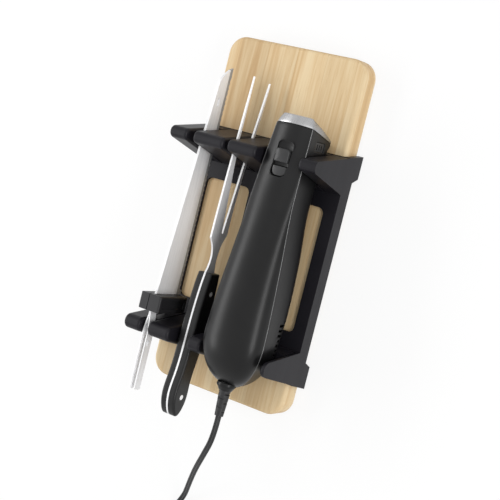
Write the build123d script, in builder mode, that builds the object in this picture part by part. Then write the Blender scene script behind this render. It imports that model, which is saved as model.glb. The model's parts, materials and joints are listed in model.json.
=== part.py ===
from build123d import *
from math import ceil, cos, pi, radians, sin, sqrt, tan
import os

os.makedirs("parts", exist_ok=True)

# The set is a cutting board with a storage rack over it, which holds the power handle,
# a pair of blades and a carving fork. Millimetres, X across the board, Y towards the blade tips.
# The origin is the centre of the board's underside. Levels are heights above the board's top.

# Cutting board
board_length = 356
board_width = 160.2
board_height = 24.2
board_corner = 18
board_edge = 4

# Storage rack
rack_fit = 0.3
plate_thickness = 3
flange_thickness = 6
flange_drop = 14
lip_thickness = 1.7
lip_drop = 10
rack_wall = 2.6
lobe_round = 3
foot_length = 22.4
foot_slope = 4.5
arm_level = 64.4
upper_arm_y = 88.7
upper_arm_depth = 40.2
upper_arm_round = 6
lower_arm_y = -146.2
lower_arm_depth = 37.5
lower_arm_round = 7.2
window_front = 32
window_rear = -92.5
left_window_x = -40.1
left_window_width = 52.4
right_window_x = 46.4
right_window_width = 52.9
window_corner = 6
slot_fit = 0.3
grip_slot_fit = 0.5
blade_slot_width = 7.3
tang_slot_width = 9.8
fork_slot_width = 4.6
grip_slot_width = 22.5
upper_cradle_width = 47.8
upper_cradle_shift = -1.5
lower_cradle_width = 69.9
lower_cradle_shift = 1.35
saddle_depth = 4

# Blades, on edge with the cutting edge down
blade_x = -57.5
blade_thickness = 1.2
blade_gap = 0.1
blade_tip_y = 143
blade_length = 229
blade_edge_level = 17
blade_depth = 39.5
blade_bevel = 6
blade_edge_thickness = 0.3
scallop_pitch = 5.2
scallop_depth = 1.3
ricasso_length = 4.3
ricasso_drop = 2
tang_level = 49
tang_height = 9.5
tang_length = 81.8
tang_spread = 2.8
tang_bend = 16
tang_straight = 5
stud_y = -140.7
stud_radius = 2.2
stud_height = 1.6
stud_shank = 1
tip_rivet_y = 112
tip_rivet_level = 31
tip_rivet_radius = 1.5
rivet_fit = 0.1
blade_travel = 8

# Blade guards
guard_length = 16.7
guard_level = 20
guard_height = 46
guard_left_width = 10.5
guard_right_width = 14.5
guard_round = 2
guard_split = 0.35
guard_core_bottom = 24
guard_panel_margin = 4
guard_panel_depth = 1.2

# Fork
fork_x = -15.6
fork_thickness = 2
fork_tip_y = 138.6
fork_length = 340.6
fork_low = 10.5
fork_high = 53.8
grip_length = 145
grip_half_width = 8.6
grip_round = 2.5
grip_rivet_radius = 2.6
grip_rivet_shares = (0.862, 0.138)
grip_rivet_rise_shares = (0.608, 0.776)

# Power handle, button side up, nose towards +Y
handle_x = 45
nose_y = 112
dome_y = -105
dome_length = 48
handle_half_width = 32.4
handle_low = 5.5
handle_height = 74.5
dome_level = 52
dome_tip_level = 46
shell_wall = 2.5
seam_gap = 0.25
cradle_fit = 0.3

# Nose collar, cut by two raked planes, and the plate inside it
nose_face_top_y = 111.5
nose_face_low_y = 95
collar_top_y = 102.6
collar_low_y = 93.5
collar_top_level = 47.4
collar_wall = 2
nose_plate_thickness = 2.5
nose_plate_inset = 1.2
nose_plate_fit = 0.1
tang_hole_width = 2.2
tang_hole_height = 11

# Buttons on top
track_y = 69
track_length = 34
track_width = 16.4
track_depth = 3.6
track_wall = 2.6
track_corner = 3
slider_y = 72.2
slider_length = 12.6
slider_width = 15.2
slider_height = 5.6
slider_fit = 0.15
slider_round = 1.28
push_y = 57.4
push_length = 9.4
push_width = 15.4
push_rise = 0.4
push_fit = 0.25
push_corner = 2.6
push_flange = 1.2
push_flange_height = 2
button_round = 1.6

# Blade release on the right-hand side
release_y = 87.3
release_level = 27
release_length = 8.6
release_height = 16.5
release_inset = 0.8
release_depth = 9
release_fit = 0.25
release_groove = 1
release_groove_share = 0.6

# Air slots
vent_count = 8
vent_first_y = -85
vent_pitch = 4.9
vent_width = 2.2
vent_level = 29
vent_height = 10
vent_reach = 24

# Motor, along Y
motor_level = 47
shaft_radius = 2.5
shaft_front_y = 13
shaft_rear_y = -120.5
stator_y = -80
stator_length = 26
stator_half_width = 21
stator_half_height = 17
stator_bore = 12.5
pole_half_height = 7
coil_start = 13.5
coil_width = 4.6
coil_depth = 4.4
coil_fit = 0.2
armature_radius = 12
armature_slots = 12
slot_opening = 1.6
slot_depth = 5
winding_radius = 10
winding_length = 6
commutator_y = -104
commutator_length = 10
commutator_radius = 7
segment_gap = 0.5
segment_depth = 0.8
fan_y = -56
fan_width = 8
fan_radius = 20
fan_hub_radius = 6
fan_blades = 9
fan_blade_thickness = 1.4
bearing_radius = 6
bearing_length = 5
rear_bearing_y = -117.5
front_bearing_y = 10.5
brush_width = 5
brush_height = 4
brush_length = 9
brush_fit = 0.3
holder_wall = 0.8
holder_length = 10
mount_level = 26.5
mount_half_width = 14
mount_wall = 6
mount_front_y = -66.5

# Gearing
gear_module = 1
wheel_teeth = 26
wheel_y = -10
wheel_face = 5
worm_pitch_radius = 4
worm_length = 24
tooth_addendum = 1
tooth_dedendum = 1.25
tooth_play = 0.4
pressure_angle = 20
cam_radius = 6.5
cam_throw = 4
cam_width = 2
axle_radius = 2
axle_fit = 0.05
frame_half_width = 12
frame_side = 2.5
frame_base_level = 15.6
frame_base = 0.9
frame_top = 57
frame_rear_y = -34
frame_front_y = 14
frame_end = 5
worm_hole_fit = 0.6

# Drivers
driver_fit = 0.3
yoke_thickness = 3
yoke_prong = 4
yoke_base = 2.6
yoke_fit = 0.2
bar_gap = 0.8
bar_level = 18
bar_height = 10
bar_tip_y = 90
bar_step = 4
socket_length = 7
socket_height = 5
guide_front_y = 82
guide_rear_y = 50
guide_half_width = 10
guide_base = 15
guide_top = 31
guide_fit = 0.2
driver_travel = 4

# Switch and its return spring
switch_length = 13
switch_width = 14
switch_height = 7.5
spring_radius = 3
spring_wire = 0.8
spring_turns = 4
spring_fit = 0.6

# Screws that join the shells
screw_places = ((10, 36), (-10, 36), (20, -42), (-20, -42), (20.5, -126), (-20.5, -126))
screw_radius = 1.5
screw_head_radius = 3
screw_head_height = 2
screw_fit = 0.15
post_radius = 4
screw_grips = (3.5, 3.5, 9, 9, 9, 9)
screw_head_seat = 7

# Strain relief
relief_level = 54
relief_root_y = -138
relief_flange_radius = 8
relief_flange = 3
relief_root_radius = 6
relief_tip_radius = 4.3
relief_exit_y = -152
relief_tip_y = -182
relief_rings = 6
relief_slot = 2.2
relief_core = 3.6
relief_fit = 0.1
relief_first_share = 0.8

# Cord, its coil beyond the picture and its plug
cord_diameter = 6
cord_route = (
    (45, -182, 54),
    (45, -204, 54),
    (33.5, -227, 45),
    (17, -249.5, 26),
    (0.5, -272.5, 3),
    (-16.5, -298.5, -21.2),
    (-38, -332, -21.2),
)
coil_pitch = 6.9
coil_radius = 35.5
coil_inward_turns = 2.75
coil_outward_turns = 2.85
plug_lead = 38
plug_length = 32
plug_width = 24
plug_round = 4
pin_length = 17
pin_width = 6.3
pin_thickness = 1.5
pin_spacing = 12.7

# Overrun of every cut past the face that it opens
overrun = 2
rack_left = -(board_width / 2 + rack_fit + lip_thickness)
flange_inner = board_width / 2 + rack_fit
rack_right = flange_inner + flange_thickness


def side_plane(x):
    """Plane across the board at x, drawn in (y, level), that extrudes towards +X."""
    return Plane(origin=(x, 0, board_height), x_dir=(0, 1, 0), z_dir=(1, 0, 0))


def top_plane(level):
    """Plane parallel to the board, drawn in (x, y), that extrudes upwards."""
    return Plane.XY.offset(board_height + level)


def end_plane(y):
    """Plane square to the length at y, drawn in (x, level), that extrudes towards -Y."""
    return Plane(origin=(0, y, board_height), x_dir=(1, 0, 0), z_dir=(0, -1, 0))


def box_between(low, high):
    """Solid box between two corners, each an (x, y, level)."""
    size = [b - a for a, b in zip(low, high)]
    middle = [(a + b) / 2 for a, b in zip(low, high)]
    return Pos(middle[0], middle[1], board_height + middle[2]) * Box(*size, mode=Mode.PRIVATE)


def rod(start, end, radius):
    """Solid cylinder between two points, each an (x, y, level)."""
    base = Vector(start[0], start[1], board_height + start[2])
    axis = Vector(*[b - a for a, b in zip(start, end)])
    return Plane(origin=base, z_dir=axis) * Cylinder(
        radius, axis.length, align=(Align.CENTER, Align.CENTER, Align.MIN), mode=Mode.PRIVATE
    )


def finish(block, name):
    """Labels a finished piece and writes its STEP file."""
    block.part.label = name
    export_step(block.part, f"parts/{name}.step")
    return block.part


# Cutting board
with BuildPart() as cutting_board:
    with BuildSketch():
        RectangleRounded(board_width, board_length, board_corner)
    extrude(amount=board_height)
    fillet(cutting_board.faces().filter_by(Axis.Z).edges(), board_edge)
finish(cutting_board, "cutting_board")

# Power handle: cross-sections. Each row of the shares gives the place along the straight body,
# the half width, the seam, the top and the bottom level, the bottom corner and the crown's fullness.
body_length = nose_y - dome_y
section_shares = (
    (0.0, 0.500, 0.528, 0.577, 0.000, 0.093, 0.0),
    (0.044, 0.608, 0.562, 0.619, 0.000, 0.093, 0.0),
    (0.092, 0.627, 0.581, 0.646, 0.004, 0.093, 0.0),
    (0.129, 0.640, 0.594, 0.661, 0.052, 0.130, 0.04),
    (0.175, 0.655, 0.610, 0.683, 0.072, 0.190, 0.1),
    (0.230, 0.673, 0.628, 0.705, 0.084, 0.247, 0.15),
    (0.424, 0.741, 0.682, 0.799, 0.104, 0.370, 0.5),
    (0.631, 0.846, 0.691, 0.893, 0.075, 0.400, 0.8),
    (0.862, 0.951, 0.705, 0.973, 0.105, 0.432, 1.0),
    (1.0, 0.995, 0.720, 0.998, 0.165, 0.485, 1.0),
)
side_taper_share = 0.06
shoulder_shares = (0.8, 0.2)
shoulder_rise_shares = (0.5, 0.1)
crown_shares = (0.4, 0.2)
dome_shares = (0.3, 0.52, 0.7, 0.83, 0.92, 0.972, 0.994)
cavity_dome_shares = dome_shares[:-3]


def body_section(row, grow):
    """Half width, seam, top, bottom, corner radius and fullness of a row, grown all round."""
    share, width, seam, top, bottom, corner, fullness = row
    half = width * handle_half_width + grow
    levels = [handle_low + handle_height * value for value in (seam, top, bottom)]
    radius = max(corner * handle_half_width + grow, collar_wall / 2)
    return (
        nose_y - share * body_length,
        half,
        levels[0],
        levels[1] + grow,
        levels[2] - grow,
        radius,
        fullness,
        side_taper_share * half * corner / section_shares[-1][5],
    )


def dome_section(share, grow):
    """Section of the rear dome, which shrinks the last row round a centre that sinks."""
    _, half, seam, top, bottom, radius, fullness, taper = body_section(section_shares[-1], 0)
    scale = sqrt(1 - share**2)
    centre = dome_level + (dome_tip_level - dome_level) * (1 - scale)
    levels = [centre + (value - dome_level) * scale for value in (seam, top, bottom)]
    return (
        dome_y - share * dome_length,
        half * scale + grow,
        levels[0],
        levels[1] + grow,
        levels[2] - grow,
        radius * scale + grow,
        fullness,
        taper * scale,
    )


def lower_corner(section, side):
    """End points and middle of the bottom corner on one side."""
    _, half, _, _, bottom, radius, _, taper = section
    inner = half - taper
    slack = radius * (1 - sqrt(0.5))
    return (
        (handle_x + side * inner, bottom + radius),
        (handle_x + side * (inner - slack), bottom + slack),
        (handle_x + side * (inner - radius), bottom),
    )


def whole_outline(section):
    """Closed section: crowned top, crisp seam corners, near-straight sides, round bottom corners."""
    y, half, seam, top, _, _, fullness, _ = section
    shoulder = half * (shoulder_shares[0] + shoulder_shares[1] * fullness)
    rise = shoulder_rise_shares[0] + shoulder_rise_shares[1] * fullness
    shoulder_level = seam + (top - seam) * rise
    crown = half * (crown_shares[0] + crown_shares[1] * fullness)
    right = lower_corner(section, 1)
    left = lower_corner(section, -1)
    with BuildSketch(end_plane(y)) as outline:
        with BuildLine():
            Bezier((handle_x + half, seam), (handle_x + shoulder, shoulder_level), (handle_x + crown, top),
                   (handle_x, top))
            Bezier((handle_x, top), (handle_x - crown, top), (handle_x - shoulder, shoulder_level),
                   (handle_x - half, seam))
            Line((handle_x - half, seam), left[0])
            ThreePointArc(*left)
            Line(left[2], right[2])
            ThreePointArc(right[2], right[1], right[0])
            Line(right[0], (handle_x + half, seam))
        make_face()
    return outline.sketch


def cradle_outline(section):
    """Lower half of a section, open upwards between straight walls."""
    y, half, seam, _, _, _, _, _ = section
    ceiling = seam + handle_height
    right = lower_corner(section, 1)
    left = lower_corner(section, -1)
    with BuildSketch(end_plane(y)) as outline:
        with BuildLine():
            Line((handle_x + half, ceiling), (handle_x - half, ceiling))
            Polyline((handle_x - half, ceiling), (handle_x - half, seam), left[0])
            ThreePointArc(*left)
            Line(left[2], right[2])
            ThreePointArc(right[2], right[1], right[0])
            Polyline(right[0], (handle_x + half, seam), (handle_x + half, ceiling))
        make_face()
    return outline.sketch


def handle_sections(grow, shares=dome_shares):
    """All sections from the nose to the rear dome."""
    rows = [body_section(row, grow) for row in section_shares]
    return rows + [dome_section(share, grow) for share in shares]


def whole_body(grow, shares=dome_shares):
    """The handle's outer form, or a form inside or outside it."""
    outlines = [whole_outline(section) for section in handle_sections(grow, shares)]
    with BuildPart() as body:
        loft(outlines, ruled=True)
    return body.part


def seam_half(side):
    """Everything on one side of the seam, as a block to take away."""
    points = [(section[0], section[2] + side * seam_gap / 2) for section in handle_sections(0)]
    front = (nose_y + overrun, points[0][1])
    rear = (dome_y - dome_length - overrun, points[-1][1])
    far = handle_low + handle_height + overrun if side < 0 else handle_low - overrun
    with BuildPart() as half:
        with BuildSketch(side_plane(handle_x - handle_half_width - overrun)):
            with BuildLine():
                Polyline(front, *points, rear, (rear[0], far), (front[0], far), close=True)
            make_face()
        extrude(amount=2 * (handle_half_width + overrun))
    return half.part


def raked_plane(high_y, high_level, low_y, low_level, shift=0):
    """Plane through two heights of the nose, whose normal points forward and down."""
    along = Vector(0, high_y - low_y, high_level - low_level).normalized()
    normal = Vector(0, along.Z, -along.Y)
    base = Vector(handle_x, low_y, board_height + low_level) + normal * shift
    return Plane(origin=base, x_dir=(1, 0, 0), z_dir=normal)


def nose_plane(shift=0):
    """Front face of the nose."""
    return raked_plane(nose_face_top_y, body_section(section_shares[0], 0)[2],
                       nose_face_low_y, handle_low, shift)


def collar_plane(shift=0):
    """Joint between the collar and the shells."""
    return raked_plane(collar_top_y, collar_top_level, collar_low_y, handle_low, shift)


def level_at(y, index):
    """Level of the seam (2), the top (3) or the bottom (4) at y, by straight lines between sections."""
    sections = handle_sections(0)
    for front, rear in zip(sections, sections[1:]):
        if front[0] >= y >= rear[0]:
            share = (front[0] - y) / (front[0] - rear[0])
            return front[index] + (rear[index] - front[index]) * share
    return sections[-1][index]


cavity = whole_body(-shell_wall, cavity_dome_shares)
outer_body = whole_body(0)
collar_bore = whole_body(-collar_wall, cavity_dome_shares)
plate_blank = whole_body(-shell_wall - nose_plate_fit, cavity_dome_shares)

# Nose collar and the plate inside it
with BuildPart() as nose_collar:
    add(outer_body)
    split(bisect_by=nose_plane(), keep=Keep.BOTTOM)
    split(bisect_by=collar_plane(), keep=Keep.TOP)
    add(collar_bore, mode=Mode.SUBTRACT)
finish(nose_collar, "nose_collar")

tang_hole_level = bar_level + bar_height / 2
with BuildPart() as nose_plate:
    add(plate_blank)
    split(bisect_by=nose_plane(-nose_plate_inset), keep=Keep.BOTTOM)
    split(bisect_by=nose_plane(-nose_plate_inset - nose_plate_thickness), keep=Keep.TOP)
    with BuildSketch(end_plane(nose_y)):
        with Locations((handle_x, tang_hole_level)):
            with GridLocations(2 * tang_spread, 0, 2, 1):
                Rectangle(tang_hole_width, tang_hole_height)
    extrude(amount=body_length / 2, mode=Mode.SUBTRACT)
finish(nose_plate, "nose_plate")

# Upper shell
track_top = level_at(track_y, 3)
track_floor = track_top - track_depth
track_half_width = track_width / 2 + track_wall
track_half_length = track_length / 2 + track_wall
track_block = box_between(
    (handle_x - track_half_width, track_y - track_half_length, track_floor - track_wall),
    (handle_x + track_half_width, track_y + track_half_length, handle_low + handle_height),
)
posts = [
    rod((handle_x + x, y, handle_low), (handle_x + x, y, handle_low + handle_height), post_radius)
    for x, y in screw_places
]
relief_hole = rod((handle_x, relief_root_y, relief_level), (handle_x, relief_tip_y, relief_level),
                  relief_root_radius + relief_fit)
with BuildPart() as upper_shell:
    add(outer_body)
    add(seam_half(1), mode=Mode.SUBTRACT)
    add(cavity - track_block - posts, mode=Mode.SUBTRACT)
    split(bisect_by=collar_plane(-seam_gap), keep=Keep.BOTTOM)
    with BuildSketch(top_plane(track_floor)):
        with Locations((handle_x, track_y)):
            RectangleRounded(track_width, track_length, track_corner)
    extrude(amount=handle_height, mode=Mode.SUBTRACT)
    with BuildSketch(top_plane(track_floor)):
        with Locations((handle_x, push_y)):
            RectangleRounded(push_width + 2 * push_fit, push_length + 2 * push_fit, push_corner + push_fit)
    extrude(amount=-handle_height / 2, mode=Mode.SUBTRACT)
    add(relief_hole, mode=Mode.SUBTRACT)
    for (x, y), grip in zip(screw_places, screw_grips):
        seat = level_at(y, 2)
        add(rod((handle_x + x, y, seat - overrun), (handle_x + x, y, seat + grip),
                screw_radius + screw_fit), mode=Mode.SUBTRACT)
finish(upper_shell, "upper_shell")

# Lower shell
half_frame = frame_half_width
seats = [
    box_between((handle_x - half_frame, frame_rear_y, handle_low),
                (handle_x + half_frame, frame_front_y, frame_base_level)),
    box_between((handle_x - guide_half_width, guide_rear_y, handle_low),
                (handle_x + guide_half_width, guide_front_y, guide_base)),
    box_between((handle_x - mount_half_width, rear_bearing_y - mount_wall / 2, handle_low),
                (handle_x + mount_half_width, mount_front_y, mount_level)),
]
side_x = handle_x + body_section(section_shares[2], 0)[1]
vents = []
for index in range(vent_count):
    y = vent_first_y - index * vent_pitch
    for side in (1, -1):
        near = handle_x + side * vent_reach
        far = handle_x + side * (handle_half_width + overrun)
        vents.append(box_between((min(near, far), y - vent_width / 2, vent_level - vent_height / 2),
                                 (max(near, far), y + vent_width / 2, vent_level + vent_height / 2)))
screw_holes = []
for x, y in screw_places:
    seat = level_at(y, 4) + screw_head_seat
    place = (handle_x + x, y)
    screw_holes.append(rod((*place, handle_low - overrun), (*place, seat), screw_head_radius + screw_fit))
    screw_holes.append(rod((*place, seat - overrun), (*place, level_at(y, 2) + overrun),
                           screw_radius + screw_fit))
with BuildPart() as lower_shell:
    add(outer_body)
    add(seam_half(-1), mode=Mode.SUBTRACT)
    add(cavity - seats - posts, mode=Mode.SUBTRACT)
    split(bisect_by=collar_plane(-seam_gap), keep=Keep.BOTTOM)
    add(relief_hole, mode=Mode.SUBTRACT)
    add(vents + screw_holes, mode=Mode.SUBTRACT)
    with BuildSketch(side_plane(handle_x)):
        with Locations((release_y, release_level)):
            Rectangle(release_length + 2 * release_fit, release_height + 2 * release_fit)
    extrude(amount=handle_half_width, mode=Mode.SUBTRACT)
finish(lower_shell, "lower_shell")

# Screws, from below
for index, ((x, y), grip) in enumerate(zip(screw_places, screw_grips)):
    seat = level_at(y, 4) + screw_head_seat
    place = (handle_x + x, y)
    with BuildPart() as shell_screw:
        add(rod((*place, seat - screw_head_height), (*place, seat), screw_head_radius))
        add(rod((*place, seat), (*place, level_at(y, 2) + grip), screw_radius))
        with BuildSketch(top_plane(seat - screw_head_height)):
            with Locations(place):
                Rectangle(screw_radius * 2, screw_radius / 2)
                Rectangle(screw_radius / 2, screw_radius * 2)
        extrude(amount=screw_head_height / 2, mode=Mode.SUBTRACT)
    finish(shell_screw, f"shell_screw_{index + 1}")

# Lock slider in its track
slider_base = track_floor + slider_fit
with BuildPart() as lock_slider:
    with BuildSketch(top_plane(slider_base)):
        with Locations((handle_x, slider_y)):
            RectangleRounded(slider_width, slider_length, button_round)
    extrude(amount=slider_height)
    fillet(lock_slider.faces().sort_by(Axis.Z)[-1].edges(), slider_round)
finish(lock_slider, "lock_slider")

# Push button, held by a flange below the track's floor
flange_top = track_floor - track_wall - push_fit
with BuildPart() as push_button:
    with BuildSketch(top_plane(flange_top)):
        with Locations((handle_x, push_y)):
            RectangleRounded(push_width, push_length, push_corner)
    extrude(amount=track_top + push_rise - flange_top)
    fillet(push_button.faces().sort_by(Axis.Z)[-1].edges(), button_round / 2)
    with BuildSketch(top_plane(flange_top)):
        with Locations((handle_x, push_y)):
            Rectangle(push_width + 2 * push_flange, push_length + 2 * push_flange)
    extrude(amount=-push_flange_height)
finish(push_button, "push_button")

# Switch on the driver guide, under the push button
with BuildPart() as power_switch:
    add(box_between((handle_x - switch_width / 2, push_y - switch_length / 2, guide_top),
                    (handle_x + switch_width / 2, push_y + switch_length / 2, guide_top + switch_height)))
    fillet(power_switch.edges().filter_by(Axis.Z), button_round / 2)
finish(power_switch, "power_switch")

# Return spring between the switch and the button, wound as one wire
spring_low = guide_top + switch_height
spring_high = flange_top - push_flange_height
spring_rise = spring_high - spring_low - 2 * spring_fit
spring_path = Pos(handle_x, push_y, board_height + spring_low + spring_fit) * Helix(
    spring_rise / spring_turns, spring_rise, spring_radius)
with BuildPart() as button_spring:
    with BuildSketch(Plane(origin=spring_path @ 0, z_dir=spring_path % 0)):
        Circle(spring_wire / 2)
    sweep(path=spring_path, is_frenet=True)
finish(button_spring, "button_spring")

# Blade release, a grooved button in the lower shell's opening
release_face = side_x - release_inset
with BuildPart() as blade_release:
    with BuildSketch(side_plane(release_face)):
        with Locations((release_y, release_level)):
            Rectangle(release_length, release_height)
    extrude(amount=-release_depth)
    with BuildSketch(side_plane(release_face)):
        with Locations((release_y, release_level)):
            with GridLocations(0, release_height / 4, 1, 3):
                Rectangle(release_length * release_groove_share, release_height / 10)
    extrude(amount=-release_groove, mode=Mode.SUBTRACT)
finish(blade_release, "blade_release")

# Gear frame: a trough with sides for the wheel's axle and end walls for the shaft
inner_half = frame_half_width - frame_side
wheel_radius = gear_module * wheel_teeth / 2
wheel_level = motor_level - worm_pitch_radius - wheel_radius
frame_floor = frame_base_level + frame_base
inside_front_y = frame_front_y - frame_end
inside_rear_y = frame_rear_y + frame_end
worm_hole_radius = worm_pitch_radius + tooth_addendum + worm_hole_fit
wheel_slot_half = wheel_face / 2 + driver_fit
axle_ends = [(handle_x + side * frame_half_width, wheel_y, wheel_level) for side in (-1, 1)]
with BuildPart() as gear_frame:
    add(box_between((handle_x - frame_half_width, frame_rear_y, frame_base_level),
                    (handle_x + frame_half_width, frame_front_y, frame_top)))
    add(box_between((handle_x - inner_half, inside_rear_y, frame_floor),
                    (handle_x + inner_half, inside_front_y, frame_top + overrun)), mode=Mode.SUBTRACT)
    add(box_between((handle_x - inner_half, inside_front_y - overrun, frame_floor),
                    (handle_x + inner_half, frame_front_y + overrun, bar_level + bar_height + driver_travel)),
        mode=Mode.SUBTRACT)
    add(rod((handle_x, frame_front_y + overrun, motor_level),
            (handle_x, front_bearing_y - bearing_length, motor_level), bearing_radius), mode=Mode.SUBTRACT)
    add(rod((handle_x, inside_rear_y + overrun, motor_level),
            (handle_x, frame_rear_y - overrun, motor_level), worm_hole_radius), mode=Mode.SUBTRACT)
    add(box_between((handle_x - wheel_slot_half, wheel_y - wheel_radius, frame_base_level - overrun),
                    (handle_x + wheel_slot_half, wheel_y + wheel_radius, wheel_level)), mode=Mode.SUBTRACT)
    add(rod(*axle_ends, axle_radius), mode=Mode.SUBTRACT)
finish(gear_frame, "gear_frame")

with BuildPart() as wheel_axle:
    add(rod(*axle_ends, axle_radius))
finish(wheel_axle, "wheel_axle")

# Worm wheel with a cam on each side, half a turn apart
tooth_pitch = pi * gear_module
half_tooth = tooth_pitch / 4 - tooth_play / 4
lead_angle = gear_module / (2 * worm_pitch_radius)
slant = tan(radians(pressure_angle))


def wheel_outline(x, turn):
    """Toothed outline of the wheel at x, turned by an angle in radians."""
    tip_half = half_tooth - slant * tooth_addendum
    root_half = half_tooth + slant * tooth_dedendum
    tip_radius = wheel_radius + tooth_addendum
    root_radius = wheel_radius - tooth_dedendum
    points = []
    for tooth in range(wheel_teeth):
        middle = turn + pi / 2 + (tooth + 0.5) * 2 * pi / wheel_teeth
        for offset, radius in ((-root_half, root_radius), (-tip_half, tip_radius),
                               (tip_half, tip_radius), (root_half, root_radius)):
            angle = middle + offset / wheel_radius
            points.append((wheel_y + radius * cos(angle), wheel_level + radius * sin(angle)))
    with BuildSketch(side_plane(x)) as outline:
        with BuildLine():
            Polyline(*points, close=True)
        make_face()
    return outline.sketch


face_turn = wheel_face / 2 * tan(lead_angle) / wheel_radius
wheel_ends = [wheel_outline(handle_x + side * wheel_face / 2, side * face_turn) for side in (-1, 1)]
with BuildPart() as worm_wheel:
    loft(wheel_ends, ruled=True)
    for side in (1, -1):
        near = handle_x + side * wheel_face / 2
        far = handle_x + side * (wheel_face / 2 + cam_width)
        cam_level = wheel_level + side * cam_throw
        add(rod((near, wheel_y, cam_level), (far, wheel_y, cam_level), cam_radius))
    add(rod(*axle_ends, axle_radius + axle_fit), mode=Mode.SUBTRACT)
finish(worm_wheel, "worm_wheel")

# Drivers: a yoke beside each cam, a step inwards and a bar that runs to the nose
yoke_inner = wheel_face / 2 + cam_width + driver_fit
yoke_outer = yoke_inner + yoke_thickness
bar_inner = bar_gap / 2
bar_outer = bar_inner + yoke_thickness
bar_top = bar_level + bar_height
window_half = cam_radius + yoke_fit
yoke_low = wheel_level - cam_throw - cam_radius - yoke_fit
yoke_high = wheel_level + cam_throw + cam_radius + yoke_fit
for name, side in (("driver_left", -1), ("driver_right", 1)):

    def driver_block(near, rear, low, far, front, high):
        """Box on this driver's side of the middle."""
        a = handle_x + side * near
        b = handle_x + side * far
        return box_between((min(a, b), rear, low), (max(a, b), front, high))

    with BuildPart() as driver:
        prong = window_half + yoke_prong
        add(driver_block(yoke_inner, wheel_y - prong, yoke_low - yoke_base,
                         yoke_outer, wheel_y + prong, yoke_high))
        add(driver_block(yoke_inner - overrun, wheel_y - window_half, yoke_low,
                         yoke_outer + overrun, wheel_y + window_half, yoke_high + overrun),
            mode=Mode.SUBTRACT)
        step_y = wheel_y + wheel_radius + tooth_addendum + driver_travel + driver_fit
        add(driver_block(yoke_inner, wheel_y + prong, bar_level, yoke_outer, step_y + bar_step, bar_top))
        add(driver_block(bar_inner, step_y, bar_level, yoke_outer, step_y + bar_step, bar_top))
        add(driver_block(bar_inner, step_y, bar_level, bar_outer, bar_tip_y, bar_top))
        add(driver_block(bar_inner + yoke_thickness / 3, bar_tip_y - socket_length,
                         tang_hole_level - socket_height / 2, bar_outer + overrun, bar_tip_y + overrun,
                         tang_hole_level + socket_height / 2),
            mode=Mode.SUBTRACT)
    finish(driver, name)

# Driver guide, with the channel for both bars
with BuildPart() as driver_guide:
    add(box_between((handle_x - guide_half_width, guide_rear_y, guide_base),
                    (handle_x + guide_half_width, guide_front_y, guide_top)))
    add(box_between((handle_x - bar_outer - guide_fit, guide_rear_y - overrun, bar_level - guide_fit),
                    (handle_x + bar_outer + guide_fit, guide_front_y + overrun, bar_top + guide_fit)),
        mode=Mode.SUBTRACT)
finish(driver_guide, "driver_guide")

# Motor shaft with its worm, a single right-hand thread
thread_half = half_tooth
worm_turn = worm_length / tooth_pitch
with BuildPart() as motor_shaft:
    add(rod((handle_x, shaft_front_y, motor_level), (handle_x, shaft_rear_y, motor_level), shaft_radius))
    root_radius = worm_pitch_radius - tooth_dedendum
    add(rod((handle_x, wheel_y + worm_length / 2 + tooth_pitch, motor_level),
            (handle_x, wheel_y - worm_length / 2 - tooth_pitch, motor_level), root_radius))
    thread_turns = round(worm_turn)
    thread_length = thread_turns * tooth_pitch
    worm_plane = Plane(origin=(handle_x, wheel_y - thread_length / 2, board_height + motor_level),
                       x_dir=(0, 0, -1), z_dir=(0, 1, 0))
    thread_path = worm_plane * Helix(tooth_pitch, thread_length, worm_pitch_radius)
    root_half = thread_half + slant * tooth_dedendum
    tip_half = thread_half - slant * tooth_addendum
    thread_start = Plane(origin=thread_path @ 0, x_dir=(0, 0, -1), z_dir=thread_path % 0)
    bury = tooth_dedendum + (root_radius - shaft_radius) / 2
    with BuildSketch(thread_start):
        with BuildLine():
            Polyline((-bury, -root_half), (tooth_addendum, -tip_half), (tooth_addendum, tip_half),
                     (-bury, root_half), close=True)
        make_face()
    sweep(path=thread_path, is_frenet=True)
finish(motor_shaft, "motor_shaft")

# Armature, commutator and fan on the shaft
rotor_front = stator_y + stator_length / 2
rotor_rear = stator_y - stator_length / 2
with BuildPart() as armature:
    add(rod((handle_x, rotor_front, motor_level), (handle_x, rotor_rear, motor_level), armature_radius))
    with BuildSketch(end_plane(rotor_front)):
        with Locations((handle_x, motor_level)):
            with PolarLocations(armature_radius, armature_slots):
                Rectangle(slot_depth, slot_opening)
    extrude(amount=stator_length, mode=Mode.SUBTRACT)
    with BuildSketch(side_plane(handle_x)) as winding:
        with Locations(((rotor_front + rotor_rear) / 2, motor_level + winding_radius / 2)):
            Rectangle(stator_length + 2 * winding_length, winding_radius)
        fillet(winding.vertices().group_by(Axis.Y)[-1], winding_length / 3)
    revolve(axis=Axis((handle_x, 0, board_height + motor_level), (0, 1, 0)))
    add(rod((handle_x, rotor_front + body_length, motor_level),
            (handle_x, rotor_rear - body_length, motor_level), shaft_radius), mode=Mode.SUBTRACT)
finish(armature, "armature")

commutator_front = commutator_y + commutator_length / 2
with BuildPart() as commutator:
    with BuildSketch(end_plane(commutator_front)):
        with Locations((handle_x, motor_level)):
            Circle(commutator_radius)
            Circle(shaft_radius, mode=Mode.SUBTRACT)
            with PolarLocations(commutator_radius, armature_slots):
                Rectangle(2 * segment_depth, segment_gap, mode=Mode.SUBTRACT)
    extrude(amount=commutator_length)
finish(commutator, "commutator")

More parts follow.
